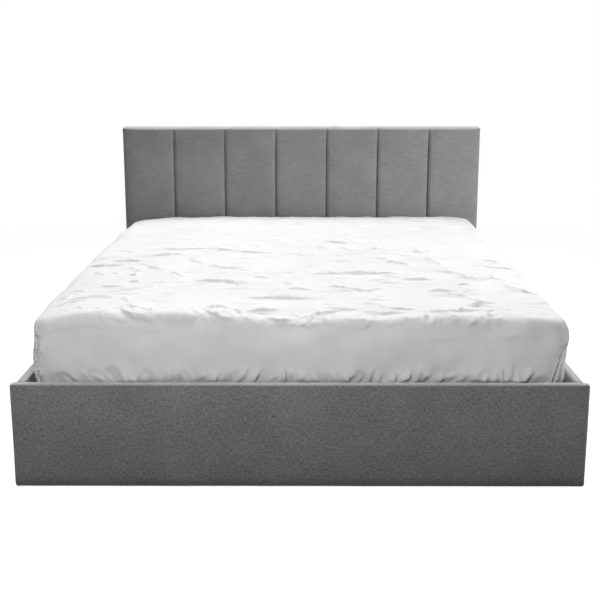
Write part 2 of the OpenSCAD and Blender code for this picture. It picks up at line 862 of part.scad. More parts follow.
module mattress_stops() {
  color(steel_black) for (side = [-1, 1]) on_side(side)
    translate([stop_place_share * mattress_w - stop_w / 2, platform_y0, tube_z])
      rotate([90, 0, 90]) linear_extrude(stop_w) polygon(stop_outline());
}

// The pull strap: flat doubled webbing fixed to the foot tube, standing up in the gap
function strap_outline() =
  let (out = platform_inset + soft_gap + strap_t, top = tube + holder_base + slat_t + stop_rise,
       step = step_rise_share * out, low = strap_foot_share * tube)
  [[0, low], [-strap_t, low], [-strap_t, tube - strap_t], [-out, tube - strap_t + step],
   [-out, top], [-out + strap_t, top], [-out + strap_t, tube + step], [0, tube]];

module pull_strap() {
  color(plastic_black) translate([-strap_w / 2, platform_y0, tube_z])
    rotate([90, 0, 90]) linear_extrude(strap_w) polygon(strap_outline());
}

// Moves to a strut's lower stud and turns +X of the child along the strut
module along_strut() {
  at_pivot(strut_base) translate([strut_x, 0, 0]) rotate([90, 0, 90]) rotate(strut_angle) children();
}

// A round bar along the strut, from a to b
module strut_bar(a, b, r) {
  translate([a, 0, 0]) rotate([0, 90, 0]) cylinder(h = b - a, r = r);
}

module strut_cylinder(side) {
  color(steel_black) on_side(side) along_strut() difference() {
    union() {
      translate([0, 0, -eye_t / 2]) cylinder(h = eye_t, r = strut_eye_r);
      strut_bar(0, strut_body_from + strut_wall, rod_r + strut_wall);
      strut_bar(strut_body_from, strut_body_to, strut_r);
    }
    translate([0, 0, -eye_t / 2 - cut]) cylinder(h = eye_t + 2 * cut, r = stud_r + pin_fit);
    strut_bar(strut_body_from + 2 * strut_wall, strut_body_to - strut_guide, strut_r - strut_wall);
    strut_bar(strut_body_from + 2 * strut_wall, strut_body_to + cut, rod_r + pin_fit);
  }
}

module strut_rod(side) {
  color(steel_bright) on_side(side) along_strut() difference() {
    union() {
      strut_bar(piston_at, strut_l - upper_eye_r / 2, rod_r);
      strut_bar(piston_at, piston_at + piston_l, strut_r - strut_wall - pin_fit);
      translate([strut_l, 0, -eye_t / 2]) cylinder(h = eye_t, r = upper_eye_r);
    }
    translate([strut_l, 0, -eye_t / 2 - cut]) cylinder(h = eye_t + 2 * cut, r = stud_r + strut_slack);
  }
}

// Profile of the mattress as pairs of inset and height, from its underside up to its middle
function mattress_profile(d) =
  let (b = mattress_base_r, e = mattress_edge_r, top = mattress_t - mattress_crown)
  concat(
    [for (i = [0 : base_arc_steps]) let (a = 90 * i / base_arc_steps)
      [b - (b - d) * sin(a), b - (b - d) * cos(a)]],
    [for (i = [0 : edge_arc_steps]) let (a = 90 * i / edge_arc_steps)
      [e - (e - d) * cos(a), top - e + (e - d) * sin(a)]],
    [for (s = crown_shares)
      [e + s * (mattress_w / 2 - e), top - d + mattress_crown * (1 - (1 - s) * (1 - s))]]);

// One ring of the mattress, set in by s: a rectangle with rounded corners
function mattress_ring(s, z) =
  let (x = mattress_w / 2 - s, y = mattress_l / 2 - s,
       r = max(mattress_corner_r - s, least_corner_share * mattress_corner_r))
  [for (q = [0 : 3], i = [0 : corner_steps]) let (a = 90 * q + 90 * i / corner_steps,
     cx = (q == 0 || q == 3) ? x - r : r - x, cy = (q < 2) ? y - r : r - y)
    [cx + r * cos(a), cy + r * sin(a), z]];

// The mattress's shape, set in from its sheet's outside by d
module mattress_form(d) {
  profile = mattress_profile(d);
  rings = [for (p = profile) mattress_ring(p[0], p[1])];
  n = len(rings[0]);
  m = len(rings);
  points = [for (ring = rings) each ring];
  sides = [for (j = [0 : m - 2], i = [0 : n - 1]) let (k = (i + 1) % n)
    each [[j * n + i, j * n + n + i, j * n + n + k], [j * n + i, j * n + n + k, j * n + k]]];
  caps = [for (i = [1 : n - 2]) each [[0, i, i + 1], [(m - 1) * n, (m - 1) * n + i + 1, (m - 1) * n + i]]];
  translate([0, centre_y, bed_z + soft_gap]) polyhedron(points = points, faces = concat(sides, caps));
}

module mattress_core() {
  color(foam_colour) mattress_form(sheet_t);
}

module fitted_sheet() {
  color(sheet_white) difference() {
    mattress_form(0);
    mattress_form(sheet_t);
    translate([-mattress_w / 2 + sheet_hem, centre_y - mattress_l / 2 + sheet_hem, bed_z - cut])
      cube([mattress_w - 2 * sheet_hem, mattress_l - 2 * sheet_hem, 2 * cut + sheet_t]);
  }
}

front_panel_board();
front_panel_foam();
front_panel_cover();
side_rail_board(-1);  // side_rail_board_left
side_rail_board(1);  // side_rail_board_right
side_rail_foam(-1);  // side_rail_foam_left
side_rail_foam(1);  // side_rail_foam_right
side_rail_cover(-1);  // side_rail_cover_left
side_rail_cover(1);  // side_rail_cover_right
headboard_board();
headboard_lower_board();
headboard_posts();
headboard_foam_pads();
headboard_cover();
headboard_back_cloth();
corner_brackets();
frame_screws();
glide_feet();
storage_floor(-1);  // storage_floor_left
storage_floor(1);  // storage_floor_right
floor_cleats();
floor_centre_batten();
base_plate(-1);  // base_plate_left
base_plate(1);  // base_plate_right
base_pivot_pins();
strut_lower_studs();
support_blocks();
rear_arm(-1);  // rear_arm_left
rear_arm(1);  // rear_arm_right
rear_arm_bush(-1);  // rear_arm_bush_left
rear_arm_bush(1);  // rear_arm_bush_right
front_arm(-1);  // front_arm_left
front_arm(1);  // front_arm_right
front_arm_bush(-1);  // front_arm_bush_left
front_arm_bush(1);  // front_arm_bush_right
strut_upper_stud(-1);  // strut_upper_stud_left
strut_upper_stud(1);  // strut_upper_stud_right
platform_tube(-1);  // platform_tube_left
platform_tube(1);  // platform_tube_right
platform_tube_head();
platform_tube_foot();
platform_centre_beam();
platform_cross_tubes();
platform_bracket(-1);  // platform_bracket_left
platform_bracket(1);  // platform_bracket_right
platform_pivot_pins();
slats();
slat_holders();
mattress_stops();
pull_strap();
strut_cylinder(-1);  // strut_cylinder_left
strut_cylinder(1);  // strut_cylinder_right
strut_rod(-1);  // strut_rod_left
strut_rod(1);  // strut_rod_right
mattress_core();
fitted_sheet();
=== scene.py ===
import math

import bpy
import numpy as np
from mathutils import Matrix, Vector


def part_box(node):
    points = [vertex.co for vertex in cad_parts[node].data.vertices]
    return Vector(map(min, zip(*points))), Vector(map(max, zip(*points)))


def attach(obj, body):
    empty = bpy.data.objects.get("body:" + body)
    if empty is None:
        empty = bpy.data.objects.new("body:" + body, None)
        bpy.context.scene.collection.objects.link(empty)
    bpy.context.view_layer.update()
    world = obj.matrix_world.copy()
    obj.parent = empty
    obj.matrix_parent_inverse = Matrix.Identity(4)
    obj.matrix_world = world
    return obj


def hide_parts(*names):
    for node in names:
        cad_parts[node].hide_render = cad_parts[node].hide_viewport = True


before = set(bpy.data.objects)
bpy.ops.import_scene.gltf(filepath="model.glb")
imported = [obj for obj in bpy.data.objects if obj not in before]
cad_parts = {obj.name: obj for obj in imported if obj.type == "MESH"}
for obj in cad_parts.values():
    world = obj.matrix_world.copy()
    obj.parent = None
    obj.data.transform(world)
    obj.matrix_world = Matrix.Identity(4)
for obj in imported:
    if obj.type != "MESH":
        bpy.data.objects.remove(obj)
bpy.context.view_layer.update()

# Metres and radians. The foot end faces -Y, the headboard stands at +Y and the floor is at z = 0.
MM = 0.001
TAU = 2 * math.pi
QUARTER = math.pi / 2
WHITE = (1, 1, 1, 1)


def corners(node):
    """A CAD node's lowest and highest corner"""
    lo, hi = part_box(node)
    return np.array(lo), np.array(hi)


panel_in, panel_top = corners("front_panel_cover")[1][1:]
rail_in = corners("side_rail_cover_right")[0][0]


# Camera at the photograph's viewing angle

PHOTO_SIZE = 600
LENS, SENSOR = 63.17, 36
CAMERA_PLACE = (0.012, -4.059, 1.269)
TILT_DOWN, TURN_LEFT = math.radians(12.929), math.radians(0.208)

camera = bpy.data.objects.new("photo_camera", bpy.data.cameras.new("photo_camera"))
camera.data.lens = LENS
camera.data.sensor_width = SENSOR
camera.location = CAMERA_PLACE
camera.rotation_euler = (QUARTER - TILT_DOWN, 0, TURN_LEFT)
bpy.context.scene.collection.objects.link(camera)
bpy.context.scene.camera = camera
bpy.context.scene.view_settings.view_transform = "Standard"


# Shaders

class Shader:
    """One node material: the principled shader's fixed values, and short calls that add nodes"""

    def __init__(self, name, **fixed):
        self.mat = bpy.data.materials.new(name)
        self.mat.use_nodes = True
        self.tree = self.mat.node_tree
        self.bsdf = self.tree.nodes["Principled BSDF"]
        for key, value in fixed.items():
            self.bsdf.inputs[key.replace("_", " ")].default_value = value

    def put(self, value, socket):
        if isinstance(value, bpy.types.NodeSocket):
            self.tree.links.new(value, socket)
        else:
            socket.default_value = value

    def node(self, kind, inputs=None, **settings):
        new = self.tree.nodes.new("ShaderNode" + kind)
        for key, value in settings.items():
            setattr(new, key, value)
        for key, value in (inputs or {}).items():
            self.put(value, new.inputs[key])
        return new

    def math(self, operation, first, *others):
        """One value by an operation, or several taken together from left to right"""
        for other in others or (0.0,):
            first = self.node("Math", {0: first, 1: other}, operation=operation).outputs[0]
        return first

    def plus(self, *parts):
        return self.math("ADD", *parts)

    def times(self, *parts):
        return self.math("MULTIPLY", *parts)

    def wave(self, distance, length):
        return self.math("SINE", self.times(distance, TAU / length))

    def place(self, x=1.0, y=1.0, z=1.0):
        """The point on the piece in metres, stretched along each axis"""
        point = self.node("TexCoord").outputs["Object"]
        return self.node("Mapping", {"Vector": point, "Scale": (x, y, z)}).outputs[0]

    def split(self, vector):
        return self.node("SeparateXYZ", {0: vector}).outputs

    def normal(self):
        """The outward direction's x, y and z"""
        return self.split(self.node("TexCoord").outputs["Normal"])

    def flat(self):
        """Two distances in metres along the surface, from the two axes that it faces least"""
        p, n = self.split(self.place()), self.normal()
        side, top = (self.math("GREATER_THAN", self.math("ABSOLUTE", n[axis]), 0.7) for axis in (0, 2))
        return self.lerp(side, p[0], p[1]), self.lerp(top, p[2], p[1])

    def lerp(self, share, a, b):
        return self.node("Mix", {0: share, 2: a, 3: b}, data_type="FLOAT").outputs[0]

    def vector(self, x, y, z=0.0):
        return self.node("CombineXYZ", {0: x, 1: y, 2: z}).outputs[0]

    def noise(self, vector, scale=1.0, detail=2.0, rough=0.5, twist=0.0):
        return self.node("TexNoise", {"Vector": vector, "Scale": scale, "Detail": detail,
                                      "Roughness": rough, "Distortion": twist}).outputs[0]

    def cells(self, vector, scale):
        return self.node("TexVoronoi", {"Vector": vector, "Scale": scale}).outputs

    def spread(self, value, low, high, to_low=0.0, to_high=1.0):
        return self.node("MapRange", {0: value, 1: low, 2: high, 3: to_low, 4: to_high}).outputs[0]

    def ramp(self, value, *stops):
        """Colours at shares of a value: (share, (r, g, b)), ..."""
        node = self.node("ValToRGB", {0: value})
        band = node.color_ramp.elements
        while len(band) < len(stops):
            band.new(0.5)
        for element, (share, colour) in zip(band, stops):
            element.position = share
            element.color = (*colour, 1.0)
        return node.outputs[0]

    def blend(self, share, a, b):
        """A colour between two colours, given as sockets or as (r, g, b)"""
        a, b = [x if isinstance(x, bpy.types.NodeSocket) else (*x, 1.0) for x in (a, b)]
        return self.node("Mix", {0: share, 6: a, 7: b}, data_type="RGBA").outputs[2]

    def colour(self, value):
        self.put(value, self.bsdf.inputs["Base Color"])

    def rough(self, value):
        self.put(value, self.bsdf.inputs["Roughness"])

    def bump(self, height, distance, strength=1.0):
        """Fine relief: a height from 0 to 1 over the distance given in metres"""
        node = self.node("Bump", {"Height": height, "Distance": distance, "Strength": strength})
        old = self.bsdf.inputs["Normal"].links
        if old:
            self.put(old[0].from_socket, node.inputs["Normal"])
        self.put(node.outputs[0], self.bsdf.inputs["Normal"])


def grey(value, warm=0.0):
    return (value * (1 + warm), value, value * (1 - warm))


def woven_upholstery():
    """Heathered woven polyester: light dashes of yarn one way and dark ones the other, with knots"""
    s = Shader("upholstery_fabric", Sheen_Weight=0.8, Sheen_Roughness=0.4, Specular_IOR_Level=0.25)
    u, v = s.flat()

    def dashes(across, along, start=0.0, detail=1.0):
        return s.noise(s.vector(s.times(u, across), s.times(v, along), start), detail=detail)

    weft, warp, yarn = dashes(95, 420), dashes(420, 95, 7.0), dashes(560, 560, 3.0)
    streak, slub = dashes(16, 280, 5.0), dashes(95, 260, 9.0, 0.0)
    cloud = s.noise(s.place(), 6.0, 4.0, 0.6)
    patch = s.spread(s.noise(s.place(), 26.0, 2.0), 0.42, 0.6, 0.15, 1.0)
    across, along, height = s.split(s.place())
    # The yarns stand out more on the low panels, which are rubbed more
    rubbed = s.spread(height, 0.3, 0.42, 1.8, 0.4)
    fleck = s.plus(s.spread(weft, 0.5, 0.68, 0.0, 0.2), s.spread(warp, 0.32, 0.5, -0.22, 0.0),
                   s.spread(yarn, 0.3, 0.7, -0.14, 0.14))
    lump = s.plus(s.spread(slub, 0.66, 0.74, 0.0, 0.22), s.spread(slub, 0.26, 0.34, -0.22, 0.0))
    fleck = s.plus(s.times(fleck, rubbed), s.times(lump, patch), s.spread(cloud, 0.3, 0.7, 0.42, 0.58),
                   s.spread(streak, 0.3, 0.7, -0.07, 0.07))
    tone = s.ramp(fleck, (0.12, grey(0.137, 0.02)), (0.5, grey(0.23, 0.012)), (0.88, grey(0.357, 0.005)))
    knot = s.cells(s.vector(s.times(u, 130), s.times(v, 130), 3.0), 1.0)[0]
    tone = s.blend(s.spread(knot, 0.05, 0.14, 0.25, 0.0), tone, grey(0.38))
    # Painted sheen where the pile is seen edge on, and a painted highlight where it faces up
    painted_edge_sheen = s.math("POWER", s.node("LayerWeight", {"Blend": 0.5}).outputs["Facing"], 2.5)
    tone = s.blend(s.times(painted_edge_sheen, 0.3), tone, grey(0.5))
    tone = s.blend(s.spread(s.normal()[2], 0.3, 0.95, 0.0, 0.62), tone, grey(0.66))
    # Painted shade: darker towards the floor, and darker still in the lowest 40 mm
    painted_floor_shade, painted_shade_colour = s.spread(height, 0.0, 0.3, 0.27, 0.0), grey(0.03, 0.03)
    tone = s.blend(s.plus(painted_floor_shade, s.spread(height, 0.0, 0.04, 0.3, 0.0)), tone, painted_shade_colour)
    # Painted shade: darker on the faces that look into the storage space
    painted_inside_shade = s.times(s.spread(s.math("ABSOLUTE", across), rail_in + 3.5 * MM, rail_in + 6 * MM, 0.8, 0.0),
                     s.spread(along, panel_in - 3.5 * MM, panel_in - 1.5 * MM),
                     s.spread(height, panel_top - 8 * MM, panel_top - 1 * MM, 1.0, 0.0))
    s.colour(s.blend(painted_inside_shade, tone, painted_shade_colour))
    s.rough(s.spread(fleck, 0.3, 0.7, 0.95, 0.82))
    pick = 2.4 * MM
    s.bump(s.spread(s.times(s.wave(u, pick), s.wave(v, pick)), -1.0, 1.0), 0.35 * MM, 0.6)
    s.bump(fleck, 0.35 * MM, 0.5)
    return s.mat


def cotton():
    """Plain white cotton with a fine weave, and fine creases where it faces up"""
    s = Shader("sheet_cotton", Sheen_Weight=0.12, Sheen_Roughness=0.5, Specular_IOR_Level=0.3)
    u, v = s.flat()
    weft, warp = (s.noise(s.vector(s.times(u, across), s.times(v, along)), detail=1.0)
                  for across, along in ((300, 1600), (1600, 300)))
    yarn = s.times(s.plus(weft, warp), 0.5)
    cloud = s.noise(s.place(), 9.0, 3.0)
    white = 0.86
    s.colour(s.blend(s.spread(yarn, 0.35, 0.65), grey(0.965 * white, 0.002), grey(white)))
    s.rough(s.spread(cloud, 0.3, 0.7, 0.84, 0.92))
    s.bump(yarn, 0.12 * MM, 0.5)
    # The creases are thin ridges that drop sharply to one side and ease off to the other
    on_top = s.spread(s.normal()[2], 0.45, 0.85)
    for number, (along, across, width, most) in enumerate([(5.5, 21, 0.07, 2.8), (9, 42, 0.09, 1.5)]):
        stretched = s.node("Mapping", {"Vector": s.place(), "Location": (3.1 * number, 1.7, 0),
                                       "Rotation": (0, 0, 0.12 - 0.3 * number), "Scale": (along, across, 8)})
        past = s.math("SUBTRACT", s.noise(stretched.outputs[0], 1.0, 2.0, 0.45, 0.35), 0.5)
        ease_off = s.math("POWER", 2.718, s.math("DIVIDE", s.times(past, -1.0), width))
        some = s.spread(s.noise(s.place(7 + 4 * number, 9 + 5 * number, 1), 1.0, 2.0), 0.47, 0.6)
        s.bump(s.times(s.spread(past, -0.006, 0.004), ease_off, some, on_top), most * MM)
    return s.mat


def ticking():
    """Knitted mattress ticking with a soft diamond pattern of stitches"""
    s = Shader("mattress_ticking", Sheen_Weight=0.2, Specular_IOR_Level=0.3)
    u, v = s.flat()
    stripes = [s.wave(s.math(way, u, v), 16 * MM) for way in ("ADD", "SUBTRACT")]
    lozenge = s.spread(s.times(*stripes), -0.6, 0.6)
    s.colour(s.blend(lozenge, (0.70, 0.69, 0.66), (0.82, 0.81, 0.78)))
    s.rough(s.spread(lozenge, 0.0, 1.0, 0.9, 0.78))
    s.bump(lozenge, 0.8 * MM, 0.6)
    s.bump(s.wave(u, 1.1 * MM), 0.15 * MM, 0.4)
    return s.mat


def dust_cloth():
    """Black spun-bonded cloth, embossed with rows of dots"""
    s = Shader("dust_cloth", Specular_IOR_Level=0.3)
    dot = s.times(*[s.wave(distance, 2.2 * MM) for distance in s.flat()])
    fibre = s.noise(s.place(400, 400, 400), 1.0, 4.0, 0.7, 0.6)
    s.colour(s.blend(s.spread(fibre, 0.35, 0.7), (0.012, 0.012, 0.013), (0.05, 0.05, 0.053)))
    s.rough(s.spread(dot, -1.0, 1.0, 0.85, 0.55))
    s.bump(dot, 0.2 * MM, 0.5)
    s.bump(fibre, 0.2 * MM, 0.5)
    return s.mat


def webbing():
    """Black woven strap with ribs across it and a twill on its face"""
    s = Shader("webbing", Sheen_Weight=0.2, Specular_IOR_Level=0.4)
    u, v = s.flat()
    twill = s.wave(s.plus(u, v), 3.8 * MM)
    both = s.plus(s.wave(v, 1.9 * MM), twill)
    s.colour(s.blend(s.spread(both, -1.6, 1.6), (0.012, 0.012, 0.014), (0.055, 0.055, 0.06)))
    s.rough(s.spread(twill, -1.0, 1.0, 0.8, 0.55))
    s.bump(both, 0.4 * MM, 0.7)
    return s.mat


def wood(name, dark, light, along, grain=1.0, layers=False):
    """Sawn wood with its grain along one axis, and glued layers on the edges of a laminated slat"""
    s = Shader(name, Specular_IOR_Level=0.35)
    scale = [160.0 * grain] * 3
    scale[along] = 5.0
    ring = s.noise(s.place(*scale), 0.25, 3.0, 0.55, 1.2)
    fine = s.noise(s.place(*[4 * x for x in scale]), 0.6, 4.0, 0.65)
    middle = [0.5 * (a + b) for a, b in zip(dark, light)]
    figure = s.plus(s.times(ring, 0.7), s.times(fine, 0.3))
    tone = s.ramp(figure, (0.33, dark), (0.5, middle), (0.66, light))
    if layers:
        glue = s.wave(s.split(s.place())[2], 1.6 * MM)
        edge = s.math("LESS_THAN", s.math("ABSOLUTE", s.normal()[2]), 0.5)
        tone = s.blend(s.times(edge, s.spread(glue, 0.2, 0.9, 0.0, 0.55)), tone, dark)
    s.colour(tone)
    s.rough(s.spread(fine, 0.3, 0.7, 0.5, 0.72))
    s.bump(fine, 0.25 * MM, 0.5)
    return s.mat


def chipboard():
    """Raw chipboard: pressed chips of several tones"""
    s = Shader("chipboard", Specular_IOR_Level=0.25)
    chip = s.cells(s.place(260, 90, 260), 1.0)
    tone = s.split(chip[1])[0]
    s.colour(s.ramp(tone, (0.1, (0.25, 0.16, 0.085)), (0.5, (0.42, 0.29, 0.165)), (0.9, (0.56, 0.42, 0.26))))
    s.rough(s.spread(tone, 0.0, 1.0, 0.8, 0.92))
    s.bump(chip[0], 0.4 * MM, 0.5)
    return s.mat


def hardboard():
    """Pale lined hardboard of the storage floor, with a fine fibre and faint marks"""
    s = Shader("floor_board", Specular_IOR_Level=0.4)
    fibre = s.noise(s.place(500, 90, 500), 1.0, 4.0, 0.7)
    mark = s.noise(s.place(3, 3, 3), 1.0, 4.0, 0.6, 0.4)
    base = s.blend(s.spread(fibre, 0.3, 0.7), (0.50, 0.45, 0.37), (0.62, 0.565, 0.475))
    s.colour(s.blend(s.spread(mark, 0.5, 0.75, 0.0, 0.25), base, (0.45, 0.39, 0.31)))
    s.rough(s.spread(fibre, 0.3, 0.7, 0.42, 0.6))
    s.bump(fibre, 0.1 * MM, 0.4)
    return s.mat


def powder_coat():
    """Black powder coat with its orange peel and a little dust"""
    s = Shader("black_steel", Specular_IOR_Level=0.5)
    peel = s.noise(s.place(), 900.0, 2.0)
    dust = s.noise(s.place(), 14.0, 5.0, 0.65)
    s.colour(s.blend(s.spread(dust, 0.52, 0.75, 0.0, 0.5), (0.016, 0.016, 0.017), (0.04, 0.04, 0.041)))
    s.rough(s.spread(dust, 0.35, 0.7, 0.36, 0.55))
    s.bump(peel, 0.12 * MM, 0.5)
    return s.mat


def zinc():
    """Zinc-plated steel with faint crystals and fine scratches"""
    s = Shader("zinc_steel", Metallic=1.0)
    tone = s.split(s.cells(s.place(), 260.0)[1])[0]
    scratch = s.noise(s.place(90, 1400, 1400), 1.0, 2.0)
    s.colour(s.ramp(tone, (0.0, (0.50, 0.51, 0.53)), (1.0, (0.68, 0.69, 0.70))))
    s.rough(s.spread(s.plus(s.times(tone, 0.4), scratch), 0.3, 1.1, 0.24, 0.46))
    s.bump(scratch, 0.05 * MM, 0.4)
    return s.mat


def moulded():
    """Moulded plastic with a fine spark-eroded grain"""
    s = Shader("black_plastic", Specular_IOR_Level=0.45)
    grain = s.noise(s.place(), 1500.0, 3.0, 0.6)
    haze = s.noise(s.place(), 30.0, 3.0)
    s.colour(s.blend(s.spread(haze, 0.35, 0.7), grey(0.02), grey(0.036)))
    s.rough(s.spread(grain, 0.3, 0.7, 0.48, 0.62))
    s.bump(grain, 0.12 * MM, 0.5)
    return s.mat


def thread():
    """Twisted grey sewing thread"""
    s = Shader("grey_thread", Sheen_Weight=0.2, Specular_IOR_Level=0.3)
    twist = s.noise(s.place(), 2500.0, 2.0)
    s.colour(s.blend(twist, grey(0.245), grey(0.35)))
    s.rough(s.spread(twist, 0.3, 0.7, 0.6, 0.85))
    s.bump(twist, 0.1 * MM, 0.5)
    return s.mat


fabric = woven_upholstery()
black_steel = powder_coat()
zinc_steel = zinc()
black_plastic = moulded()
PINE_TONES = (0.47, 0.30, 0.15), (0.72, 0.53, 0.32)
pine = wood("pine_batten", *PINE_TONES, 1)
pine_upright = wood("pine_post", *PINE_TONES, 2)
birch = wood("birch_slat", (0.62, 0.46, 0.28), (0.80, 0.65, 0.45), 0, 0.7, True)
chips = chipboard()
floor_board = hardboard()


# Mesh code

def piece(name, points, faces, material, body=None, slot=None, smooth=True):
    """A mesh object from points and faces, with one material and the body it rides on; the slot argument is
    not used
    """
    mesh = bpy.data.meshes.new(name)
    mesh.from_pydata(np.asarray(points, float).tolist(), [], [list(map(int, f)) for f in faces])
    mesh.validate()
    if smooth:
        mesh.shade_smooth()
    mesh.materials.append(material)
    new = bpy.data.objects.new(name, mesh)
    bpy.context.scene.collection.objects.link(new)
    if body:
        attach(new, body)
    return new


def grid_quads(index):
    """Quads between the rows and columns of an array of point numbers"""
    return np.stack([index[:-1, :-1], index[1:, :-1], index[1:, 1:], index[:-1, 1:]], -1).reshape(-1, 4)


def loop_quads(rings):
    """Quads between rows of point numbers that each close on themselves"""
    return grid_quads(np.concatenate([rings, rings[:, :1]], 1))


def marks(lo, hi, step, edge=0.0, parts=4, power=1.0):
    """Places from lo to hi about a step apart, closer together within edge of each end"""
    inner = np.linspace(lo + edge, hi - edge, max(1, round(abs(hi - lo - 2 * edge) / step)) + 1)
    if not edge:
        return inner
    near = (np.arange(parts) / parts) ** power * edge
    return np.concatenate([lo + near, inner, (hi - near)[::-1]])


def box_surface(ticks):
    """Points and outward quads of a closed box, from its marks along x, y and z"""
    points, quads, count = [], [], 0
    for a in range(3):
        b, c = (a + 1) % 3, (a + 2) % 3
        u, v = np.meshgrid(ticks[b], ticks[c], indexing="ij")
        for end in (0, -1):
            p = np.empty(u.shape + (3,))
            p[..., a], p[..., b], p[..., c] = ticks[a][end], u, v
            faces = grid_quads(np.arange(u.size).reshape(u.shape) + count)
            quads.append(faces if end else faces[:, ::-1])
            points.append(p.reshape(-1, 3))
            count += u.size
    points, quads = np.concatenate(points), np.concatenate(quads)
    _, first, back = np.unique(np.round(points, 7), axis=0, return_index=True, return_inverse=True)
    return points[first], back.reshape(-1)[quads]


def round_off(points, lo, hi, r):
    """A box's points with its edges and corners rounded by a radius, and their outward directions"""
    core = np.clip(points, lo + r, hi - r)
    off = points - core
    out = off / np.maximum(np.linalg.norm(off, axis=1, keepdims=True), 1e-9)
    return core + out * r, out


def swell(points, wave, seed):
    """A smooth random height of about -1 to 1, with waves about as long as given, in metres"""
    random = np.random.default_rng(seed)
    count, size = 28, points.shape[1]
    total = np.zeros(len(points))
    for _ in range(count):
        way = random.normal(size=size)
        way *= TAU / (wave * random.uniform(0.6, 1.7)) / np.linalg.norm(way)
        total += np.cos(points @ way + random.uniform(0, TAU))
    return total / math.sqrt(count)


def ease(x):
    """0 below 0, 1 above 1 and a smooth step between"""
    x = np.clip(x, 0, 1)
    return x * x * (3 - 2 * x)


def hump(x, middle, width):
    """1 in the middle, falling off on both sides in a bell curve"""
    return np.exp(-((x - middle) / width) ** 2)


def tube(name, paths, radius, material, body, slot):
    """Thin wires or threads along several paths, closed at both ends"""
    sides = 5
    points, faces, count = [], [], 0
    angle = np.arange(sides) / sides * TAU
    c, s = np.cos(angle)[:, None], np.sin(angle)[:, None]
    skew = np.array([0.3, 0.2, 0.93])
    for path in paths:
        path = np.asarray(path, float)
        way = np.gradient(path, axis=0)
        way /= np.linalg.norm(way, axis=1, keepdims=True)
        a = np.cross(way, skew)
        a /= np.linalg.norm(a, axis=1, keepdims=True)
        b = np.cross(way, a)
        points.append((path[:, None] + radius * (c * a[:, None] + s * b[:, None])).reshape(-1, 3))
        index = np.arange(len(path) * sides).reshape(-1, sides) + count
        faces += [q[::-1] for q in loop_quads(index)] + [index[0], index[-1][::-1]]
        count += index.size
    return piece(name, np.concatenate(points), faces, material, body, slot)


# Panels: board and foam under a fabric cover that is pulled tight over rounded edges

def padded_panel(name, node, seed, below, wider=0.0):
    """A panel's cover, reaching below its CAD node and wider on each side by the distances given"""
    radius, above = 9 * MM, 2 * MM
    lo, hi = corners(node)
    lo -= (wider, 0, below)
    hi += (wider, 0, above)
    ticks = [marks(lo[a], hi[a], min(12 * MM, hi[a] - lo[a] - 2 * radius), radius) for a in range(3)]
    points, quads = box_surface(ticks)
    points, out = round_off(points, lo, hi, radius)
    face = np.abs(out[:, np.argmin(hi - lo)]) > 0.9
    height = 0.45 * swell(points, 0.16, seed) + 0.25 * swell(points, 0.06, seed + 1) - 0.75
    tuck = -0.8 * ease((lo[2] + 22 * MM - points[:, 2]) / (22 * MM))
    if wider:
        tuck -= 3.2 * np.clip(1 - (hi[0] - np.abs(points[:, 0])) / (60 * MM), 0, 1) ** 2
    points += out * (np.where(face, height + tuck, 0.4 * height) * MM)[:, None]
    new = piece(name, points, quads, fabric, "frame", "cover_fabric")
    return new


front_panel = padded_panel("front_panel_upholstery", "front_panel_cover", 11, 8 * MM, 3.5 * MM)
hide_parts("front_panel_cover", "front_panel_foam")
for side, seed in (("left", 21), ("right", 25)):
    rail = padded_panel("side_rail_upholstery_" + side, "side_rail_cover_" + side, seed, 3 * MM)
    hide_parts("side_rail_cover_" + side, "side_rail_foam_" + side)


# Headboard: seven upright channels, pulled in to narrow seams that pinch together at the top

board_lo, board_hi = corners("headboard_cover")
face_y, back_y, board_top = board_lo[1], board_hi[1] + 1 * MM, board_hi[2]
board_low = board_lo[2] - 3.5 * MM
pad_foot = corners("headboard_foam_pads")[0][2]
CHANNELS = 7
channel_w = (board_hi[0] - board_lo[0]) / CHANNELS


def board_path():
    """Stations round the headboard's end view: y, z, outward y and z, up the front and down the back"""
    r_front, r_back, r_low = 20 * MM, 9 * MM, 5 * MM
    rows = []

    def arc(cy, cz, r, start, steps):
        for a in start - np.linspace(0, QUARTER, steps + 1):
            rows.append((cy + r * math.cos(a), cz + r * math.sin(a), math.cos(a), math.sin(a)))

    pad_lip, pad_bend, upper = pad_foot - 12 * MM, pad_foot + 14 * MM, board_top - 90 * MM
    front = np.concatenate([marks(board_low + r_low, pad_lip, 25 * MM)[1:-1],
                            np.linspace(pad_lip, pad_bend, 9), marks(pad_bend, upper, 12 * MM)[1:],
                            marks(upper, board_top - r_front, 4 * MM)[1:-1]])
    arc(face_y + r_low, board_low + r_low, r_low, -QUARTER, 5)
    rows.extend((face_y, z, -1, 0) for z in front)
    arc(face_y + r_front, board_top - r_front, r_front, math.pi, 9)
    rows.extend((y, board_top, 0, 1) for y in marks(face_y + r_front, back_y - r_back, 5 * MM)[1:-1])
    arc(back_y - r_back, board_top - r_back, r_back, QUARTER, 5)
    rows.extend((back_y, z, 1, 0) for z in marks(board_top - r_back, board_low + r_low, 60 * MM)[1:-1])
    arc(back_y - r_low, board_low + r_low, r_low, 0, 5)
    return np.array(rows)


def channel_columns():
    """Columns across the headboard: seam, side of it, share of the slot's half width, distance beyond it"""
    beyond = np.array([0, 0.5, 1.2, 2.2, 3.6, 5.4, 7.6, 10, 13, 17, 22, 29, 38, 50, 64, 79, 94, 108]) * MM
    columns = []
    for seam in board_lo[0] + np.arange(CHANNELS + 1) * channel_w:
        left = [(seam, -1, 1.0, d) for d in beyond[::-1]] if seam > board_lo[0] else []
        right = [(seam, 1, 1.0, d) for d in beyond] if seam < board_hi[0] - channel_w / 2 else []
        slot = [(seam, side, share, 0.0) for side, share in ((-1, 0.75), (1, 0.0), (1, 0.75))]
        columns += left + (slot if left and right else []) + right
    return columns


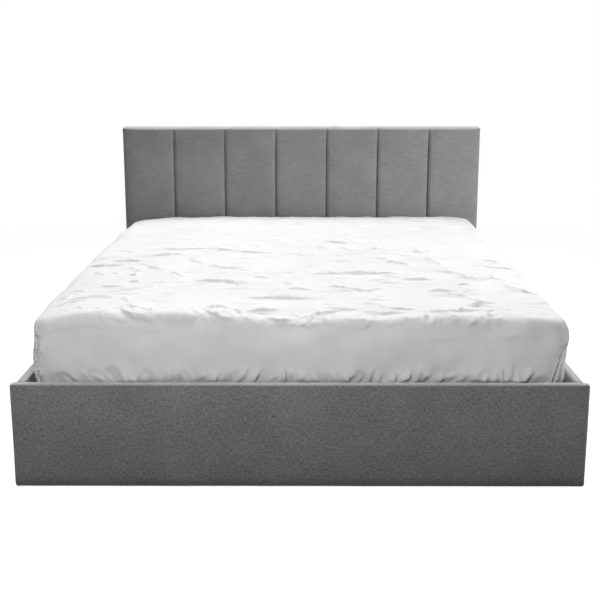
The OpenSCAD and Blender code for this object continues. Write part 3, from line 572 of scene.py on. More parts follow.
def close_end(points, faces, ring, order):
    """Closes one end in rings that draw together over the board's edge, and returns all points"""
    centre, last = points[ring].mean(0), ring
    for share in (0.9, 0.5):
        inset = points[ring]
        inset[:, 1] = centre[1] + (inset[:, 1] - centre[1]) * share
        inset[:, 2] = centre[2] + (inset[:, 2] - centre[2]) * (1 - (1 - share) * 0.08)
        number = np.arange(len(ring)) + len(points)
        points = np.concatenate([points, inset])
        faces += [q[::-order] for q in loop_quads(np.stack([last, number]))]
        last = number
    faces.append(last[::order])
    return points


def headboard_shell():
    """The headboard's cover: its end view drawn across the columns and pulled in at the seams"""
    y, z, ny, nz = board_path().T
    front = (ny < -0.02) & (z > pad_foot - 13 * MM)
    on_top = (nz > 0.02) & (z > pad_foot)
    rise = ease((z - (pad_foot - 8 * MM)) / (20 * MM))
    over = ease(1 - (y - face_y - 14 * MM) / (40 * MM))
    roll = np.where(front | on_top, rise * over * (1 - 0.55 * np.clip(nz, 0, 1)), 0.0)
    deep = np.where(front, rise * ease((board_top - 12 * MM - z) / (26 * MM)), 0.0)
    slot_depth, slot_top, slot_more = 16 * MM, 0.6 * MM, 4.0 * MM
    slot = slot_top + slot_more * ease((board_top - 8 * MM - z) / (110 * MM))
    seam_depth, edge_depth, edge_reach = 14 * MM, 8 * MM, 11 * MM
    facing = np.clip(-ny, 0, 1) ** 2 * ease((z - pad_foot) / (25 * MM))
    end_reach, end_depth = (6 + 40 * facing) * MM, (6 + 9 * facing) * MM
    rings = []
    for seam, side, share, d in channel_columns():
        outer = abs(abs(seam) - board_hi[0]) < 1e-6
        x = seam + side * (d if outer else share * slot + d) * np.ones(len(y))
        u = 1 - 2 * d / channel_w
        curve = edge_depth * (1 - math.sqrt(1 - (1 - min(1.0, d / edge_reach)) ** 2))
        dip = roll * ((1.2 * u * u + 4.8 * u ** 6) * MM + (0 if outer else curve))
        if share < 1:
            dip = roll * seam_depth + deep * slot_depth
        if outer:
            dip = dip + end_depth * (1 - np.sqrt(1 - np.clip(1 - d / end_reach, 0, 1) ** 2))
        rings.append(np.stack([x, y - ny * dip, z - nz * dip], 1))
    points = np.concatenate(rings)
    out = np.tile(np.stack([0 * ny, ny, nz], 1), (len(rings), 1))
    soft = 0.5 * swell(points, 0.15, 31) + 0.35 * swell(points, 0.05, 32) - 0.6
    # Short puckers that run into each seam, strongest near the top
    away = np.abs((points[:, 0] - board_lo[0] + channel_w / 2) % channel_w - channel_w / 2)
    ripple = swell(points * [0.25, 1, 1], 0.013, 33) * np.exp(-away / (16 * MM)) * np.tile(deep, len(rings))
    inner = (np.abs(points[:, 0]) < board_hi[0] - 20 * MM) * (1 - np.clip(out[:, 1], 0, 1))
    points = points + out * ((soft + 0.4 * ripple) * inner * MM)[:, None]
    index = np.arange(len(points)).reshape(len(rings), -1)
    faces = [q[::-1] for q in loop_quads(index)]
    points = close_end(points, faces, index[0], 1)
    points = close_end(points, faces, index[-1], -1)
    return points, faces


headboard = piece("headboard_upholstery", *headboard_shell(), fabric, "frame", "cover_fabric")
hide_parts("headboard_cover", "headboard_foam_pads")


# Dust cloth stapled over the headboard's back

def staples(name, places):
    """Staples pressed into the cloth on the headboard's back: centre, direction along the crown"""
    crown, wire, outwards = 10 * MM, 0.55 * MM, np.array([0, 1, 0])
    half = [(-0.5, -1.6), (-0.5, -0.4), (-0.44, 0.35), (-0.2, 0.55)]
    shape = half + [(-s, h) for s, h in half[::-1]]
    paths = [[np.array(centre) + s * crown * np.array(along) + h * 2 * wire * outwards for s, h in shape]
             for centre, along in places]
    return tube(name, paths, wire, zinc_steel, "frame", "zinc_steel")


def back_cloth():
    """The dust cloth, a little slack between its stapled edges, and its staples"""
    lo, hi = corners("headboard_back_cloth")
    gx, gz = np.meshgrid(marks(lo[0], hi[0], 14 * MM), marks(lo[2], hi[2], 14 * MM), indexing="ij")
    x, z = gx.ravel(), gz.ravel()
    hold = ease(np.minimum.reduce([x - lo[0], hi[0] - x, z - lo[2], hi[2] - z]) / (50 * MM))
    # The cloth is drawn up between the staples along its upper edge
    tug = np.sin(x * TAU / (60 * MM)) * np.exp(-np.abs(hi[2] - z) / (30 * MM))
    flat = np.stack([x, 0 * x, z], 1)
    wave = (0.8 + 0.6 * swell(flat * [1, 1, 0.4], 0.2, 41)) * hold + 0.25 * (1 + tug)
    flat[:, 1] = hi[1] + 0.35 * MM + np.clip(wave, 0, 2.2) * MM
    index = np.arange(gx.size).reshape(gx.shape)
    new = piece("headboard_dust_cloth", flat, grid_quads(index)[:, ::-1], dust_cloth(), "frame", "dust_cloth")
    thick = new.modifiers.new("thickness", "SOLIDIFY")
    thick.thickness = 0.4 * MM
    thick.offset = 0
    crown_y, inset, pitch = hi[1] + 0.9 * MM, 8 * MM, 62 * MM
    spots = [((x, crown_y, z), (1, 0, 0)) for x in np.arange(lo[0] + 30 * MM, hi[0] - 20 * MM, pitch)
             for z in (hi[2] - inset, lo[2] + inset)]
    spots += [((x, crown_y, z), (0, 0, 1)) for z in np.arange(lo[2] + 40 * MM, hi[2] - 30 * MM, pitch)
              for x in (lo[0] + inset, hi[0] - inset)]
    wires = staples("headboard_staples", spots)
    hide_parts("headboard_back_cloth")


back_cloth()


# Mattress and fitted sheet

sheet_lo, sheet_hi = corners("fitted_sheet")
half_x, half_y = (sheet_hi[0] - sheet_lo[0]) / 2, (sheet_hi[1] - sheet_lo[1]) / 2
mid_y = (sheet_hi[1] + sheet_lo[1]) / 2
CORNER_R, EDGE_R, BASE_R, CROWN = 62 * MM, 48 * MM, 26 * MM, 6 * MM
HEM = 90 * MM
core_x, core_y = half_x - CORNER_R, half_y - CORNER_R
side_top = sheet_hi[2] - CROWN
ring_r = CORNER_R - EDGE_R
# Distances down the cloth from the top's rim: to the upright side, and to its lower end
edge_down = EDGE_R * QUARTER
hem_down = edge_down + side_top - EDGE_R - sheet_lo[2] - BASE_R
# Ways round the side from the middle of the near left corner: half a corner, both lengths, the corners
turn_length = CORNER_R * math.pi / 4
foot_way, side_way = 2 * (turn_length + core_x), 2 * (turn_length + core_y)
CORNER_WAYS = (0, foot_way, foot_way + side_way, 2 * foot_way + side_way)
# Below this height the sheet's ends lie flat behind the panel and the stops
FLAT_BELOW = panel_top - 3 * MM


def sheet_top():
    """The flat top: points, quads, numbers of the rim's points, their directions and their core points"""
    parts, power, fine_to = 22, 1.5, 0.3
    rim_x, rim_y = core_x + ring_r, core_y + ring_r
    near = np.linspace(-core_y, fine_to, round((fine_to + core_y) / (3.8 * MM)) + 1)
    far = np.linspace(fine_to, core_y, round((core_y - fine_to) / (7 * MM)) + 1)
    edge = (np.arange(parts) / parts) ** power * ring_r
    x, y = np.meshgrid(marks(-rim_x, rim_x, 5.4 * MM, ring_r, parts, power),
                       np.concatenate([edge - rim_y, near[:-1], far, (rim_y - edge)[::-1]]), indexing="ij")
    u, v = np.maximum(0, np.abs(x) - core_x) / ring_r, np.maximum(0, np.abs(y) - core_y) / ring_r
    with np.errstate(divide="ignore", invalid="ignore"):
        turn = np.nan_to_num(np.where(u >= v, v / u, 2 - u / v) * math.pi / 4)
    in_corner, reach = (u > 0) & (v > 0), ring_r * np.maximum(u, v)
    px = np.where(in_corner, np.sign(x) * (core_x + reach * np.cos(turn)), x)
    py = np.where(in_corner, np.sign(y) * (core_y + reach * np.sin(turn)), y)
    dome = (1 - np.abs(px / rim_x) ** 4) * (1 - np.abs(py / rim_y) ** 14)
    top = np.stack([px, py, side_top + CROWN * dome], -1).reshape(-1, 3)
    index = np.arange(x.size).reshape(x.shape)
    rim = np.concatenate([index[:, 0], index[-1, 1:], index[-2::-1, -1], index[0, -2:0:-1]])
    lx, ly, lu, lv, lt = (a.reshape(-1)[rim] for a in (x, y, u, v, turn))
    out = np.stack([np.where(lu > 0, np.where(lv > 0, np.cos(lt), 1.0), 0.0) * np.sign(lx),
                    np.where(lv > 0, np.where(lu > 0, np.sin(lt), 1.0), 0.0) * np.sign(ly)], 1)
    core = np.stack([np.clip(lx, -core_x, core_x), np.clip(ly, -core_y, core_y)], 1)
    return top, grid_quads(index), rim, out, core


def side_rows():
    """Rows over the shoulder, down the side and under to the hem: inset, height, outward and upward share"""
    step, low = 6.5 * MM, sheet_lo[2]
    rows = []

    def bend(r, level, up, first, last):
        for a in np.linspace(first, last, round(r * QUARTER / step) + 1)[1:]:
            c, s = math.cos(a), math.sin(a)
            rows.append((r * (1 - c), level - up * r * (1 - s), c, up * s))

    bend(EDGE_R, side_top, 1, QUARTER, 0)
    rows.extend((0.0, height, 1.0, 0.0) for height in marks(side_top - EDGE_R, low + BASE_R, step)[1:])
    bend(BASE_R, low, -1, 0, QUARTER)
    rows.extend((inset, low, 0.0, -1.0) for inset in marks(BASE_R, BASE_R + HEM, 15 * MM)[1:])
    return rows


def sheet_form():
    """The stretched sheet before it wrinkles: points, outward directions, place laid flat, place round
    the side, distance down from the top's rim, quads, and the way round"""
    top, quads, last, way_out, core = sheet_top()
    side = core + way_out * CORNER_R
    hop = np.linalg.norm(np.diff(side, axis=0, append=side[:1]), axis=1)
    around = np.concatenate([[0], np.cumsum(hop)[:-1]])
    count, least_r = len(last), 8 * MM
    points, outs, quads = [top], [np.tile([0.0, 0.0, 1.0], (len(top), 1))], [quads]
    flat, rounds, downs = [top[:, :2]], [np.zeros(len(top))], [np.zeros(len(top))]
    down, before = 0.0, (EDGE_R, side_top)
    for inset, height, outward, upward in side_rows():
        down += math.hypot(inset - before[0], height - before[1])
        before = (inset, height)
        shrink = 1 - max(0.0, inset - (CORNER_R - least_r)) / np.array([core_x, core_y])
        place = core * shrink + way_out * max(CORNER_R - inset, least_r)
        number = np.arange(count) + sum(map(len, points))
        points.append(np.column_stack([place, np.full(count, height)]))
        outs.append(np.column_stack([way_out * outward, np.full(count, upward)]))
        flat.append(core + way_out * (ring_r + down))
        rounds.append(around)
        downs.append(np.full(count, down))
        quads.append(loop_quads(np.stack([last, number])))
        last = number
    points, flat = np.concatenate(points), np.concatenate(flat)
    points[:, 1] += mid_y
    flat[:, 1] += mid_y
    return (points, np.concatenate(outs), flat, np.concatenate(rounds), np.concatenate(downs),
            np.concatenate(quads), around[-1] + hop[-1])


def crease(rise_by, shift_by, place, centre, length, angle, rise, steep, gentle, bend,
           wrap=None, lean=0.65):
    """Adds one fold: a ridge with a steep side, a gentle side and a shallow valley, whose crest leans
    over the steep side. place holds two distances in metres; wrap is the length of a closed way"""
    away = place - centre
    if wrap:
        away[:, 0] = (away[:, 0] + wrap / 2) % wrap - wrap / 2
    near = np.abs(away).max(1) < length * 0.6 + 4 * gentle
    away = away[near]
    c, s = math.cos(angle), math.sin(angle)
    run = away[:, 0] * c + away[:, 1] * s
    along = run / (length / 2)
    across = away[:, 1] * c - away[:, 0] * s - bend * length * (along * along - 0.3)
    # The crest wavers in a short and a long wave, each fold in its own way
    phase = 97 * centre[0] + 57 * centre[1]
    for reach, wave, start in ((1.6, 7, 20), (2.4, 16, 31)):
        across -= reach * MM * np.sin(run / (wave * MM) + start * phase)
    taper = np.clip(1 - along * along, 0, 1) ** 1.3
    width = np.where(across < 0, steep, gentle * (0.6 + 0.4 * taper))
    ridge = np.exp(-np.abs(across / width) ** 1.25)
    rise_by[near] += rise * taper * (ridge - 0.3 * hump(across, -2.3 * steep, 1.5 * steep))
    push = lean * rise * taper * ridge
    shift_by[near, 0] += s * push
    shift_by[near, 1] -= c * push


def top_point(pixel_x, pixel_y):
    """Where the line of sight through a pixel of the photograph meets the sheet's top"""
    turn, middle, focal = camera.rotation_euler.to_matrix(), PHOTO_SIZE / 2, LENS / SENSOR * PHOTO_SIZE
    sight = np.array(turn) @ (pixel_x - middle, middle - pixel_y, -focal)
    reach = (sheet_hi[2] - 0.4 * CROWN - CAMERA_PLACE[2]) / sight[2]
    return (CAMERA_PLACE + reach * sight)[:2]


# Creases read off the photograph: pixel x and y of one end, then of the other, and how strong each looks
TOP_CREASES = [
    (157, 250, 212, 249, 3), (212, 249, 232, 251.6, 4), (232, 251.6, 278, 254, 3),
    (142, 256.6, 186, 255.6, 4), (116, 261, 142, 261.5, 6), (92, 265.6, 119, 265.4, 6),
    (96, 272.4, 110, 275.6, 3), (130, 275.6, 138, 274.8, 4), (146, 265, 163, 271, 4),
    (173, 273.6, 183, 277, 4), (130, 282, 140, 282, 5), (100, 287, 122, 287, 4),
    (104, 292.4, 153, 287, 4), (72, 291.6, 84, 291, 3), (56, 299.4, 72, 296, 5),
    (71, 299.4, 110, 299, 5), (58, 304.4, 84, 302.4, 5), (198, 281.6, 222, 281.8, 8),
    (222, 281.8, 238, 284.8, 8), (236, 284.8, 248, 283.6, 5), (212, 266, 227, 269.6, 5),
    (227, 269.6, 242, 269, 5), (190, 261, 202, 263.6, 4), (230, 230.4, 250, 230, 3),
    (250, 299, 310, 299.6, 6), (250, 309.6, 275, 308.6, 6), (270, 313.6, 288, 313.6, 7),
    (286, 290, 310, 290.4, 5), (288, 254.4, 299, 256, 4), (299, 256, 313, 253.6, 4),
    (296, 242, 306, 242, 3), (214, 311, 227, 309.6, 5), (124, 309.6, 144, 312, 4),
    (255, 279, 268, 278.6, 4), (325, 242.4, 348, 244, 5), (348, 244, 364, 243, 4),
    (316, 248, 326, 248.6, 3), (338, 249, 354, 251.6, 4), (370, 250, 384, 250, 3),
    (375, 258.4, 388, 259.6, 3), (388, 262, 398, 263.6, 6), (398, 263.6, 409, 265, 5),
    (414, 252.4, 423, 253.6, 5), (426, 258, 439, 264, 3), (312, 275.4, 342, 274, 4),
    (342, 273.6, 374, 274, 7), (374, 274, 396, 274.6, 6), (405, 280.4, 428, 280.2, 7),
    (434, 271.6, 464, 275, 4), (460, 277, 477, 281, 7), (477, 281, 494, 277.6, 7),
    (432, 291, 452, 292, 7), (458, 286, 469, 285, 5), (460, 294, 470, 290, 4),
    (448, 296, 466, 296.6, 5), (508, 286, 536, 292, 5), (328, 288, 346, 289.6, 4),
    (346, 289.6, 368, 292.4, 5), (368, 292.4, 382, 289, 4), (364, 304.4, 384, 308, 6),
    (384, 308, 412, 309, 5), (328, 308, 354, 308.6, 5), (316, 311, 336, 310, 7),
    (366, 310, 400, 311, 5), (438, 311, 476, 310, 5), (470, 306, 492, 303, 5),
    (480, 266, 516, 269, 2)
]
SCATTERED_CREASES = 210
# Clusters of small crimps along the near shoulder: middle and spread (mm), number
SHOULDER_CRIMPS = [(-250, 60, 34), (40, 45, 26), (480, 60, 44), (-560, 120, 16), (200, 120, 20)]
# Flaps of cloth that fall over the near shoulder on the left: x, y, length (mm), angle (degrees), height (mm)
SHOULDER_FLAPS = [(-495, -1018, 135, -26, 10), (-248, -1016, 115, -22, 9), (-585, -1006, 60, 14, 5)]
# Gathers over the front's hem: from x, to x, step (mm), lean (radians), height (mm)
FRONT_GATHERS = [(-700, -480, 26, -0.8, 7), (-500, -330, 14, 0.1, 8), (-330, 20, 17, 0.15, 8),
                 (20, 150, 22, -0.3, 7), (150, 330, 30, 0.6, 8), (280, 700, 36, 0.8, 9),
                 (300, 690, 18, 0.6, 6)]
# Level folds under the near shoulder: x, distance down, length and height (mm)
LEVEL_FOLDS = [(-640, 68, 300, 3), (-430, 78, 200, 2.5), (640, 88, 160, 3.5), (420, 100, 200, 2.5)]

rng = np.random.default_rng(77)
draw = rng.uniform


def top_wrinkles(flat):
    """Height and sideways shift of the creases on the top and over its near shoulder"""
    height, shift = np.zeros(len(flat)), np.zeros((len(flat), 2))

    def fold(x, y, *shape, **more):
        crease(height, shift, flat, (x, y), *shape, **more)

    for start_x, start_y, end_x, end_y, strength in TOP_CREASES:
        start, end = top_point(start_x, start_y), top_point(end_x, end_y)
        (x, y), (across, along) = (start + end) / 2, end - start
        size, turn = math.hypot(across, along), math.atan2(along, across)
        rise, bend = (3.6 + 0.95 * strength) * MM, draw(-0.12, 0.12)
        fold(x, y, 1.6 * size, turn, rise, draw(2.8, 3.8) * MM, draw(16, 34) * MM, bend, lean=0.8)
        # A fainter fold beside it
        gap = rng.choice([-1, 1]) * draw(11, 26) * MM
        fold(x - gap * math.sin(turn), y + gap * math.cos(turn), draw(0.5, 1) * size,
             turn + rng.normal(0, 0.12), 0.42 * rise, 3.6 * MM, draw(9, 18) * MM, -bend)
    for _ in range(SCATTERED_CREASES):
        x, y = draw(-0.77, 0.77), mid_y + 0.97 * (2 * rng.beta(1.25, 1.9) - 1)
        angle = rng.normal(0, 0.42) + (math.pi if rng.random() < 0.3 else 0)
        fold(x, y, draw(0.03, 0.17), angle, draw(1.5, 6.8) * MM, draw(2.9, 4.2) * MM, draw(9, 26) * MM,
             draw(-0.2, 0.2))
    for centre, spread, count in SHOULDER_CRIMPS:
        for _ in range(count):
            x, y = (centre + rng.normal(0, spread)) * MM, mid_y - core_y - draw(0.0, 0.07)
            fold(x, y, draw(0.02, 0.06), rng.normal(0.1, 0.8), draw(2.2, 6) * MM, 2.8 * MM,
                 draw(4, 10) * MM, draw(-0.25, 0.25))
    for x, y, size, angle, rise in SHOULDER_FLAPS:
        fold(x * MM, y * MM, size * MM, math.radians(angle), rise * MM, 2.8 * MM, 24 * MM, 0.1, lean=0.9)
    return height, shift


def shoulder_height(points, down):
    """Broad swells, and a shoulder that is squarer than a round edge, with a wavy lip"""
    x, y = points[:, 0], points[:, 1]
    broad = 1.3 * swell(points, 0.34, 53) + 0.7 * swell(points, 0.12, 54)
    on_side = 4.6 * swell(points, 0.22, 51) + 2.4 * swell(points, 0.09, 52)
    lip = 0.95 + 0.28 * swell(points[:, :1], 0.17, 57) + 0.07 * swell(points[:, :1], 0.04, 58)
    lip -= 0.75 * hump(x, -0.1, 0.11) * (y < 0)
    turn, power = np.clip(down / EDGE_R, 0, QUARTER), 4.5
    square = EDGE_R * ((np.cos(turn) ** power + np.sin(turn) ** power) ** (-1 / power) - 1)
    # In the middle of the foot end the cloth is slack and slopes to the front in a wide curve
    past_edge = np.where(down > 0, down, mid_y - core_y - y) - EDGE_R * math.pi / 4
    slack = ease(1 - np.abs(past_edge) / 0.09) * (y < mid_y - core_y + 0.1)
    slack *= hump(x, -0.03, 0.14) + 0.5 * hump(x, 0.24, 0.08)
    return (broad + on_side * ease(down / 0.09) - 19 * slack) * MM + square * np.clip(lip, 0.1, 1.25)


def seam_sway(corner, down):
    """A corner seam's way to the side at a distance down: crumpled at the near left, slanted near right"""
    if corner == 0:
        return (6 * np.sin(down * TAU / 0.05) + 3 * np.sin(down * TAU / 0.017)) * MM
    if corner == 1:
        return (12 - 38 * (down - 0.08) / (hem_down - 0.08)) * MM
    return 2.5 * MM * np.sin(down * TAU / 0.09)


def side_wrinkles(around, down, length, front):
    """Height and slide of what draws in the sheet's side: gathers, folds, hollows and corner seams"""
    ways, height, slide = np.stack([around, down], 1), np.zeros(len(down)), np.zeros((len(down), 2))

    def gather(place, low, size, lean, rise, width):
        crease(height, slide, ways, (place % length, low), size, QUARTER + lean, rise, width, 2.1 * width,
               draw(-0.15, 0.15), wrap=length)

    for first, last, step, lean, rise in FRONT_GATHERS:
        x = first
        while x < last:
            gather(foot_way / 2 + x * MM, hem_down - draw(0.012, 0.034), draw(0.045, 0.1),
                   lean + rng.normal(0, 0.22), rise * draw(0.5, 1.25) * MM, draw(3.2, 5.2) * MM)
            x += step * draw(0.4, 1.6)
    place = foot_way
    while place < length:
        place += draw(0.012, 0.045)
        gather(place, hem_down - draw(-0.01, 0.02), draw(0.05, 0.12), rng.normal(0, 0.5),
               draw(2.5, 6.5) * MM, draw(3.5, 6) * MM)
    for x, low, size, rise in LEVEL_FOLDS:
        gather(foot_way / 2 + x * MM, low * MM, size * MM, QUARTER, rise * MM, 5 * MM)
    # Hollows where the front's hem is drawn in between two gathers
    above = edge_down + side_top - EDGE_R - FLAT_BELOW - down
    place = turn_length + 30 * MM
    while place < turn_length + 2 * core_x:
        wide, tall = draw(0.016, 0.034), draw(0.02, 0.05)
        off = np.hypot((around - place) / wide, np.maximum(above, 0) / tall)
        height -= draw(1.5, 4) * MM * ease((1.2 - off) / 0.45) * front
        place += draw(1.7, 3.6) * wide + 0.012
    height -= 2.5 * MM * ease(1 - above / 0.045) * front
    for corner, seam in enumerate(CORNER_WAYS):
        crumpled = corner == 0
        reach = ease((down - 0.03) / 0.04)
        off = (around - seam + length / 2) % length - length / 2 - seam_sway(corner, down) * reach
        height -= 14 * MM * hump(off, 0, (3.6 if crumpled else 2.6) * MM) * reach
        height += 3.2 * MM * hump(np.abs(off), 8 * MM, 4 * MM) * reach
        for _ in range(18 if crumpled else 9):
            low, tilt = draw(0.06, hem_down), rng.choice([-1, 1]) * draw(0.5, 1.2)
            gather(seam + rng.choice([-1, 1]) * draw(0.006, 0.02), low, draw(0.025, 0.06), tilt,
                   draw(1.2, 3.2) * MM, draw(3, 4.5) * MM)
    deepest, highest, most_slide = -13 * MM, 10 * MM, 5 * MM
    return np.clip(height, deepest, highest), np.clip(slide[:, :1], -most_slide, most_slide)


def pull_corners(points, down):
    """Shapes the corners as the elastic pulls them, and the cloth between them where it stands proud"""
    x, y, z = points.T
    u, v = np.clip(np.abs(x) / half_x, 0, 1), np.clip(np.abs(y - mid_y) / half_y, 0, 1)
    head = np.where(x < 0, 28 * u ** 5.5 + 20 * u ** 40, 11 * u ** 7)
    foot = np.where(x < 0, 24 * u ** 11, 17 * u ** 9)
    slump = ease((x - 0.6) / 0.18) * ease((-0.3 - y) / 0.3) * ease((y + 0.98) / 0.14)
    proud_head = 6.5 * ease((y - 0.7) / 0.2)
    proud_foot = 13 * ease((x + 0.79) / 0.13) * ease((-0.12 - x) / 0.16) * ease((-0.72 - y) / 0.26)
    lift = proud_head + proud_foot - 4 * slump - np.where(y > mid_y, head, foot) * v ** 7
    z += lift * MM * ease(1 - (down - 0.05) / 0.17)
    # The near right corner bulges, and the side behind it is less full
    x -= 4 * MM * slump * ease((z - 0.38) / 0.08)
    x += 10 * MM * ease((x - 0.72) / 0.08) * ease((-0.9 - y) / 0.1) * hump(z, 0.47, 0.05)
    # The near left corner is square down to the hem
    square = np.interp(z, (0.28, 0.36, 0.42, 0.47, 0.52), (13, 12, 2, 4, 5.5)) * MM
    x -= square * ease((-0.72 - x) / 0.07) * ease((-0.93 - y) / 0.1)
    np.maximum(z, sheet_lo[2], out=z)


def wrinkled_sheet():
    """Points and quads of the sheet with all its wrinkles"""
    points, out, flat, around, down, quads, length = sheet_form()
    height, shift = top_wrinkles(flat)
    # The top's creases run out a little way down the side
    fade_from, fade_run, most_shift = 55 * MM, 40 * MM, 9 * MM
    fade = ease(1 - (down - fade_from) / fade_run)
    height = np.clip(height, -6 * MM, 15 * MM) * fade
    points[:, :2] += np.clip(shift, -most_shift, most_shift) * fade[:, None]
    height += shoulder_height(points, down)
    side = down > 0
    drawn_in, slide = side_wrinkles(around[side], down[side], length, out[side, 1] < -0.9)
    points[side, :2] += slide * np.stack([-out[side, 1], out[side, 0]], 1)
    # The filling presses the sides out, least where the stops and the strap stand against them
    t = np.clip((down - edge_down) / (hem_down - edge_down), 0, 1)
    end = np.abs(out[:, 1]) > np.abs(out[:, 0])
    press = np.where(end, 4.0, 7.5) * np.sin(math.pi * np.clip(t * 1.05, 0, 1)) ** 0.7 * MM
    height[side] += drawn_in + press[side]
    low_end = end & (points[:, 2] < FLAT_BELOW)
    height[low_end] = np.minimum(height[low_end], -0.4 * MM)
    # Underneath, the elastic ruffles the hem
    under = down > hem_down + BASE_R * QUARTER - 1e-6
    ruffle = swell(np.stack([around, down], 1)[under], 0.014, 56)
    height[under] = np.clip(0.8 * ruffle - 0.6, -1.4, 0) * MM
    points = points + out * height[:, None]
    pull_corners(points, down)
    return points, quads


def mattress_body():
    """Points and quads of the mattress, rounded well inside the sheet and quilted underneath"""
    lo, hi = corners("mattress_core")
    side_gap, low_gap, top_gap = 12 * MM, 2 * MM, 14 * MM
    lo, hi = lo + (side_gap, side_gap, low_gap), hi - (side_gap, side_gap, top_gap)
    r, quilting = 85 * MM, 170 * MM
    points, quads = box_surface([marks(lo[a], hi[a], 22 * MM, r, 8) for a in range(3)])
    points, out = round_off(points, lo, hi, r)
    below = out[:, 2] < -0.95
    waves = np.abs(np.sin(points[:, :2] * math.pi / quilting))
    points[below, 2] += 3.5 * MM * (1 - waves.min(1)[below] ** 0.35)
    return points, quads


sheet = piece("fitted_sheet_cotton", *wrinkled_sheet(), cotton(), "mattress", "sheet_fabric")
mattress = piece("mattress_body", *mattress_body(), ticking(), "mattress", "mattress")
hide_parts("mattress_core")
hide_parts("fitted_sheet")


# Pull strap: doubled webbing with a loop at its top and a stitched box

def strap_path(y_out, y_tube, low, tube_top, top):
    """The strap's middle line: y and z up the tube's front, out over its top and on to the loop"""
    rows = np.array([(y_tube, low), (y_tube, tube_top - 10 * MM), (y_tube - 1 * MM, tube_top - 4 * MM),
                     (y_out + 1 * MM, tube_top + 2 * MM), (y_out, tube_top + 9 * MM), (y_out, top - 14 * MM),
                     (y_out - 0.6 * MM, top - 6 * MM), (y_out - 0.2 * MM, top - 1.6 * MM)])
    parts = 4
    fine = [a + (b - a) * k / parts for a, b in zip(rows[:-1], rows[1:]) for k in range(parts)]
    fine = np.array(fine + [rows[-1]])
    for _ in range(3):
        fine[1:-1] = 0.25 * fine[:-2] + 0.5 * fine[1:-1] + 0.25 * fine[2:]
    return fine


def strap_section(wide):
    """Two layers with rounded selvedges and a groove between them at each edge: across and out"""
    count, half_thick = 28, 1.25 * MM
    angle = TAU * np.arange(count) / count
    across, off = (np.sign(way) * np.abs(way) ** power
                   for way, power in ((np.cos(angle), 0.35), (np.sin(angle), 0.5)))
    ring = np.stack([across * wide / 2, off * half_thick], 1)
    ring[[0, count // 2], 0] *= 0.975
    return ring


def box_stitches(y_out, low, high):
    """Paths of the stitches round a box and across both its diagonals"""
    half, pitch = 12 * MM, 2.6 * MM
    box = np.array([(-half, low), (half, low), (half, high), (-half, high),
                    (-half, low), (half, high), (-half, high), (half, low)])
    paths = []
    for a, b in zip(box[:-1], box[1:]):
        count = max(2, round(np.linalg.norm(b - a) / pitch))
        for k in range(count):
            spots = [a + (b - a) * (k + share) / count for share in (0.14, 0.5, 0.86)]
            paths.append([(x, y_out - off * MM, z) for (x, z), off in zip(spots, (1.1, 1.5, 1.1))])
    return paths


def pull_strap():
    """The strap up the front of the platform's foot tube, and its stitches"""
    lo, hi = corners("pull_strap")
    tube_lo, tube_hi = corners("platform_tube_foot")
    y_out = lo[1] + 1.6 * MM
    path = strap_path(y_out, tube_lo[1] - 1.5 * MM, lo[2], tube_hi[2], hi[2])
    ring = strap_section(hi[0] - lo[0])
    way = np.gradient(path, axis=0)
    way /= np.linalg.norm(way, axis=1, keepdims=True)
    points = []
    for (y, z), (way_y, way_z), t in zip(path, way, np.linspace(0, 1, len(path))):
        # Thicker where the end is folded in, and rounded off at the top
        thick = (1 + 0.9 * hump(t, 0.93, 0.05)) * math.sqrt(max(0.05, 1 - max(0, (t - 0.96) / 0.045) ** 2))
        points += [(x, y - way_z * off * thick, z + way_y * off * thick) for x, off in ring]
    index = np.arange(len(points)).reshape(len(path), -1)
    faces = [*loop_quads(index), index[0][::-1], index[-1]]
    new = piece("pull_strap_webbing", points, faces, webbing(), "platform", "webbing")
    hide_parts("pull_strap")
    paths = box_stitches(y_out, hi[2] - 34 * MM, hi[2] - 12 * MM)
    tube("pull_strap_stitching", paths, 0.35 * MM, thread(), "platform", "webbing")


pull_strap()


# Finishes of the CAD nodes that stay

def both_sides(*names):
    """The left and the right node of each name"""
    return [name + side for name in names for side in ("_left", "_right")]


FINISHES = {
    black_steel: ["corner_brackets", "platform_tube_head", "platform_tube_foot", "platform_centre_beam",
                  "platform_cross_tubes", "mattress_stops",
                  *both_sides("base_plate", "rear_arm", "front_arm", "platform_tube", "platform_bracket",
                              "strut_cylinder")],
    zinc_steel: ["frame_screws", "base_pivot_pins", "strut_lower_studs", "platform_pivot_pins",
                 *both_sides("rear_arm_bush", "front_arm_bush", "strut_upper_stud", "strut_rod")],
    black_plastic: ["glide_feet", "support_blocks", "slat_holders"],
    birch: ["slats"],
    pine: ["floor_cleats", "floor_centre_batten"],
    pine_upright: ["headboard_posts"],
    chips: ["front_panel_board", "headboard_board", "headboard_lower_board", *both_sides("side_rail_board")],
    floor_board: both_sides("storage_floor"),
}
for material, names in FINISHES.items():
    for name in names:
        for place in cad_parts[name].material_slots:
            place.material = material


# Floor, white surroundings and soft lights

FLOOR_TONE, FLOOR_GLOW = 0.55, 0.85
FLOOR_RADIUS, FLOOR_SIDES = 5.0, 48
DOME = 0.01


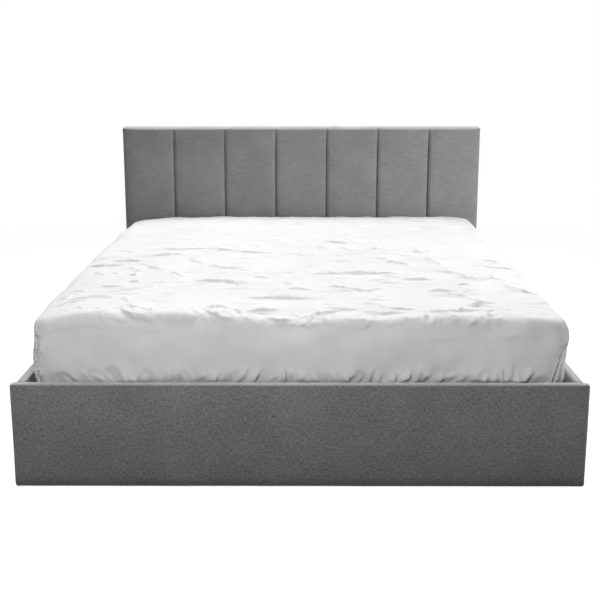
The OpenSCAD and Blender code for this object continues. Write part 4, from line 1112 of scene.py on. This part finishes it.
def stage_floor():
    """A pale floor that runs out into the white surroundings"""
    s = Shader("pale_floor", Specular_IOR_Level=0.2)
    tone = s.noise(s.place(), 2.0, 3.0)
    s.colour(s.blend(tone, grey(FLOOR_TONE), grey(FLOOR_TONE * 1.03)))
    s.rough(s.spread(tone, 0.3, 0.7, 0.7, 0.8))
    s.put(WHITE, s.bsdf.inputs["Emission Color"])
    seen = s.node("LightPath").outputs["Is Camera Ray"]
    s.put(s.times(seen, FLOOR_GLOW), s.bsdf.inputs["Emission Strength"])
    x, y, _ = s.split(s.place())
    far = s.math("SQRT", s.plus(s.math("POWER", x, 2.0), s.math("POWER", y, 2.0)))
    clear = s.node("BsdfTransparent").outputs[0]
    fade = s.node("MixShader", {0: s.spread(far, 2.2, 4.6), 1: s.bsdf.outputs[0], 2: clear})
    s.put(fade.outputs[0], s.tree.nodes["Material Output"].inputs[0])
    angle = TAU * np.arange(FLOOR_SIDES) / FLOOR_SIDES
    ring = np.stack([FLOOR_RADIUS * np.cos(angle), FLOOR_RADIUS * np.sin(angle), 0 * angle], 1)
    piece("studio_floor", ring, [range(FLOOR_SIDES)], s.mat, smooth=False)


stage_floor()

world = bpy.data.worlds.new("white_studio")
bpy.context.scene.world = world
world.use_nodes = True
nodes, links = world.node_tree.nodes, world.node_tree.links
backdrop, dome_light = nodes["Background"], nodes.new("ShaderNodeBackground")
for background, strength in ((backdrop, 1.0), (dome_light, DOME)):
    background.inputs[0].default_value = WHITE
    background.inputs[1].default_value = strength
seen, choose = nodes.new("ShaderNodeLightPath"), nodes.new("ShaderNodeMixShader")
links.new(seen.outputs["Is Camera Ray"], choose.inputs[0])
links.new(dome_light.outputs[0], choose.inputs[1])
links.new(backdrop.outputs[0], choose.inputs[2])
links.new(choose.outputs[0], nodes["World Output"].inputs[0])


def softbox(name, place, aim, size, power):
    """A soft rectangular light that looks at a point"""
    light = bpy.data.lights.new(name, "AREA")
    light.shape = "RECTANGLE"
    light.size, light.size_y = size
    light.energy = power
    new = bpy.data.objects.new(name, light)
    new.location = place
    way = np.array(aim, float) - np.array(place, float)
    way /= np.linalg.norm(way)
    new.rotation_euler = (math.acos(-way[2]), 0, math.atan2(way[0], -way[1]) + math.pi)
    new.visible_camera = False
    bpy.context.scene.collection.objects.link(new)


softbox("back_left_softbox", (-1.2, 1.5, 3.0), (0, -0.2, 0.5), (1.6, 1.0), 59)
softbox("back_right_softbox", (1.2, 1.5, 3.0), (0, -0.2, 0.5), (1.6, 1.0), 14)
softbox("right_softbox", (2.2, -0.3, 0.9), (0.1, 0.95, 0.6), (0.8, 0.8), 32)
softbox("front_softbox", (-0.8, -3.6, 1.7), (0, -1.0, 0.5), (1.6, 1.2), 25.5)
softbox("over_left_softbox", (-0.9, -0.5, 2.8), (-0.4, -0.85, 0.5), (1.6, 0.8), 9)
softbox("over_foot_softbox", (0.1, -0.4, 3.0), (0.0, -0.8, 0.5), (1.6, 0.8), 20)
softbox("foot_strip", (0, -1.7, 1.3), (0, -1.1, 0.2), (2.4, 0.25), 6)

bpy.context.view_layer.update()
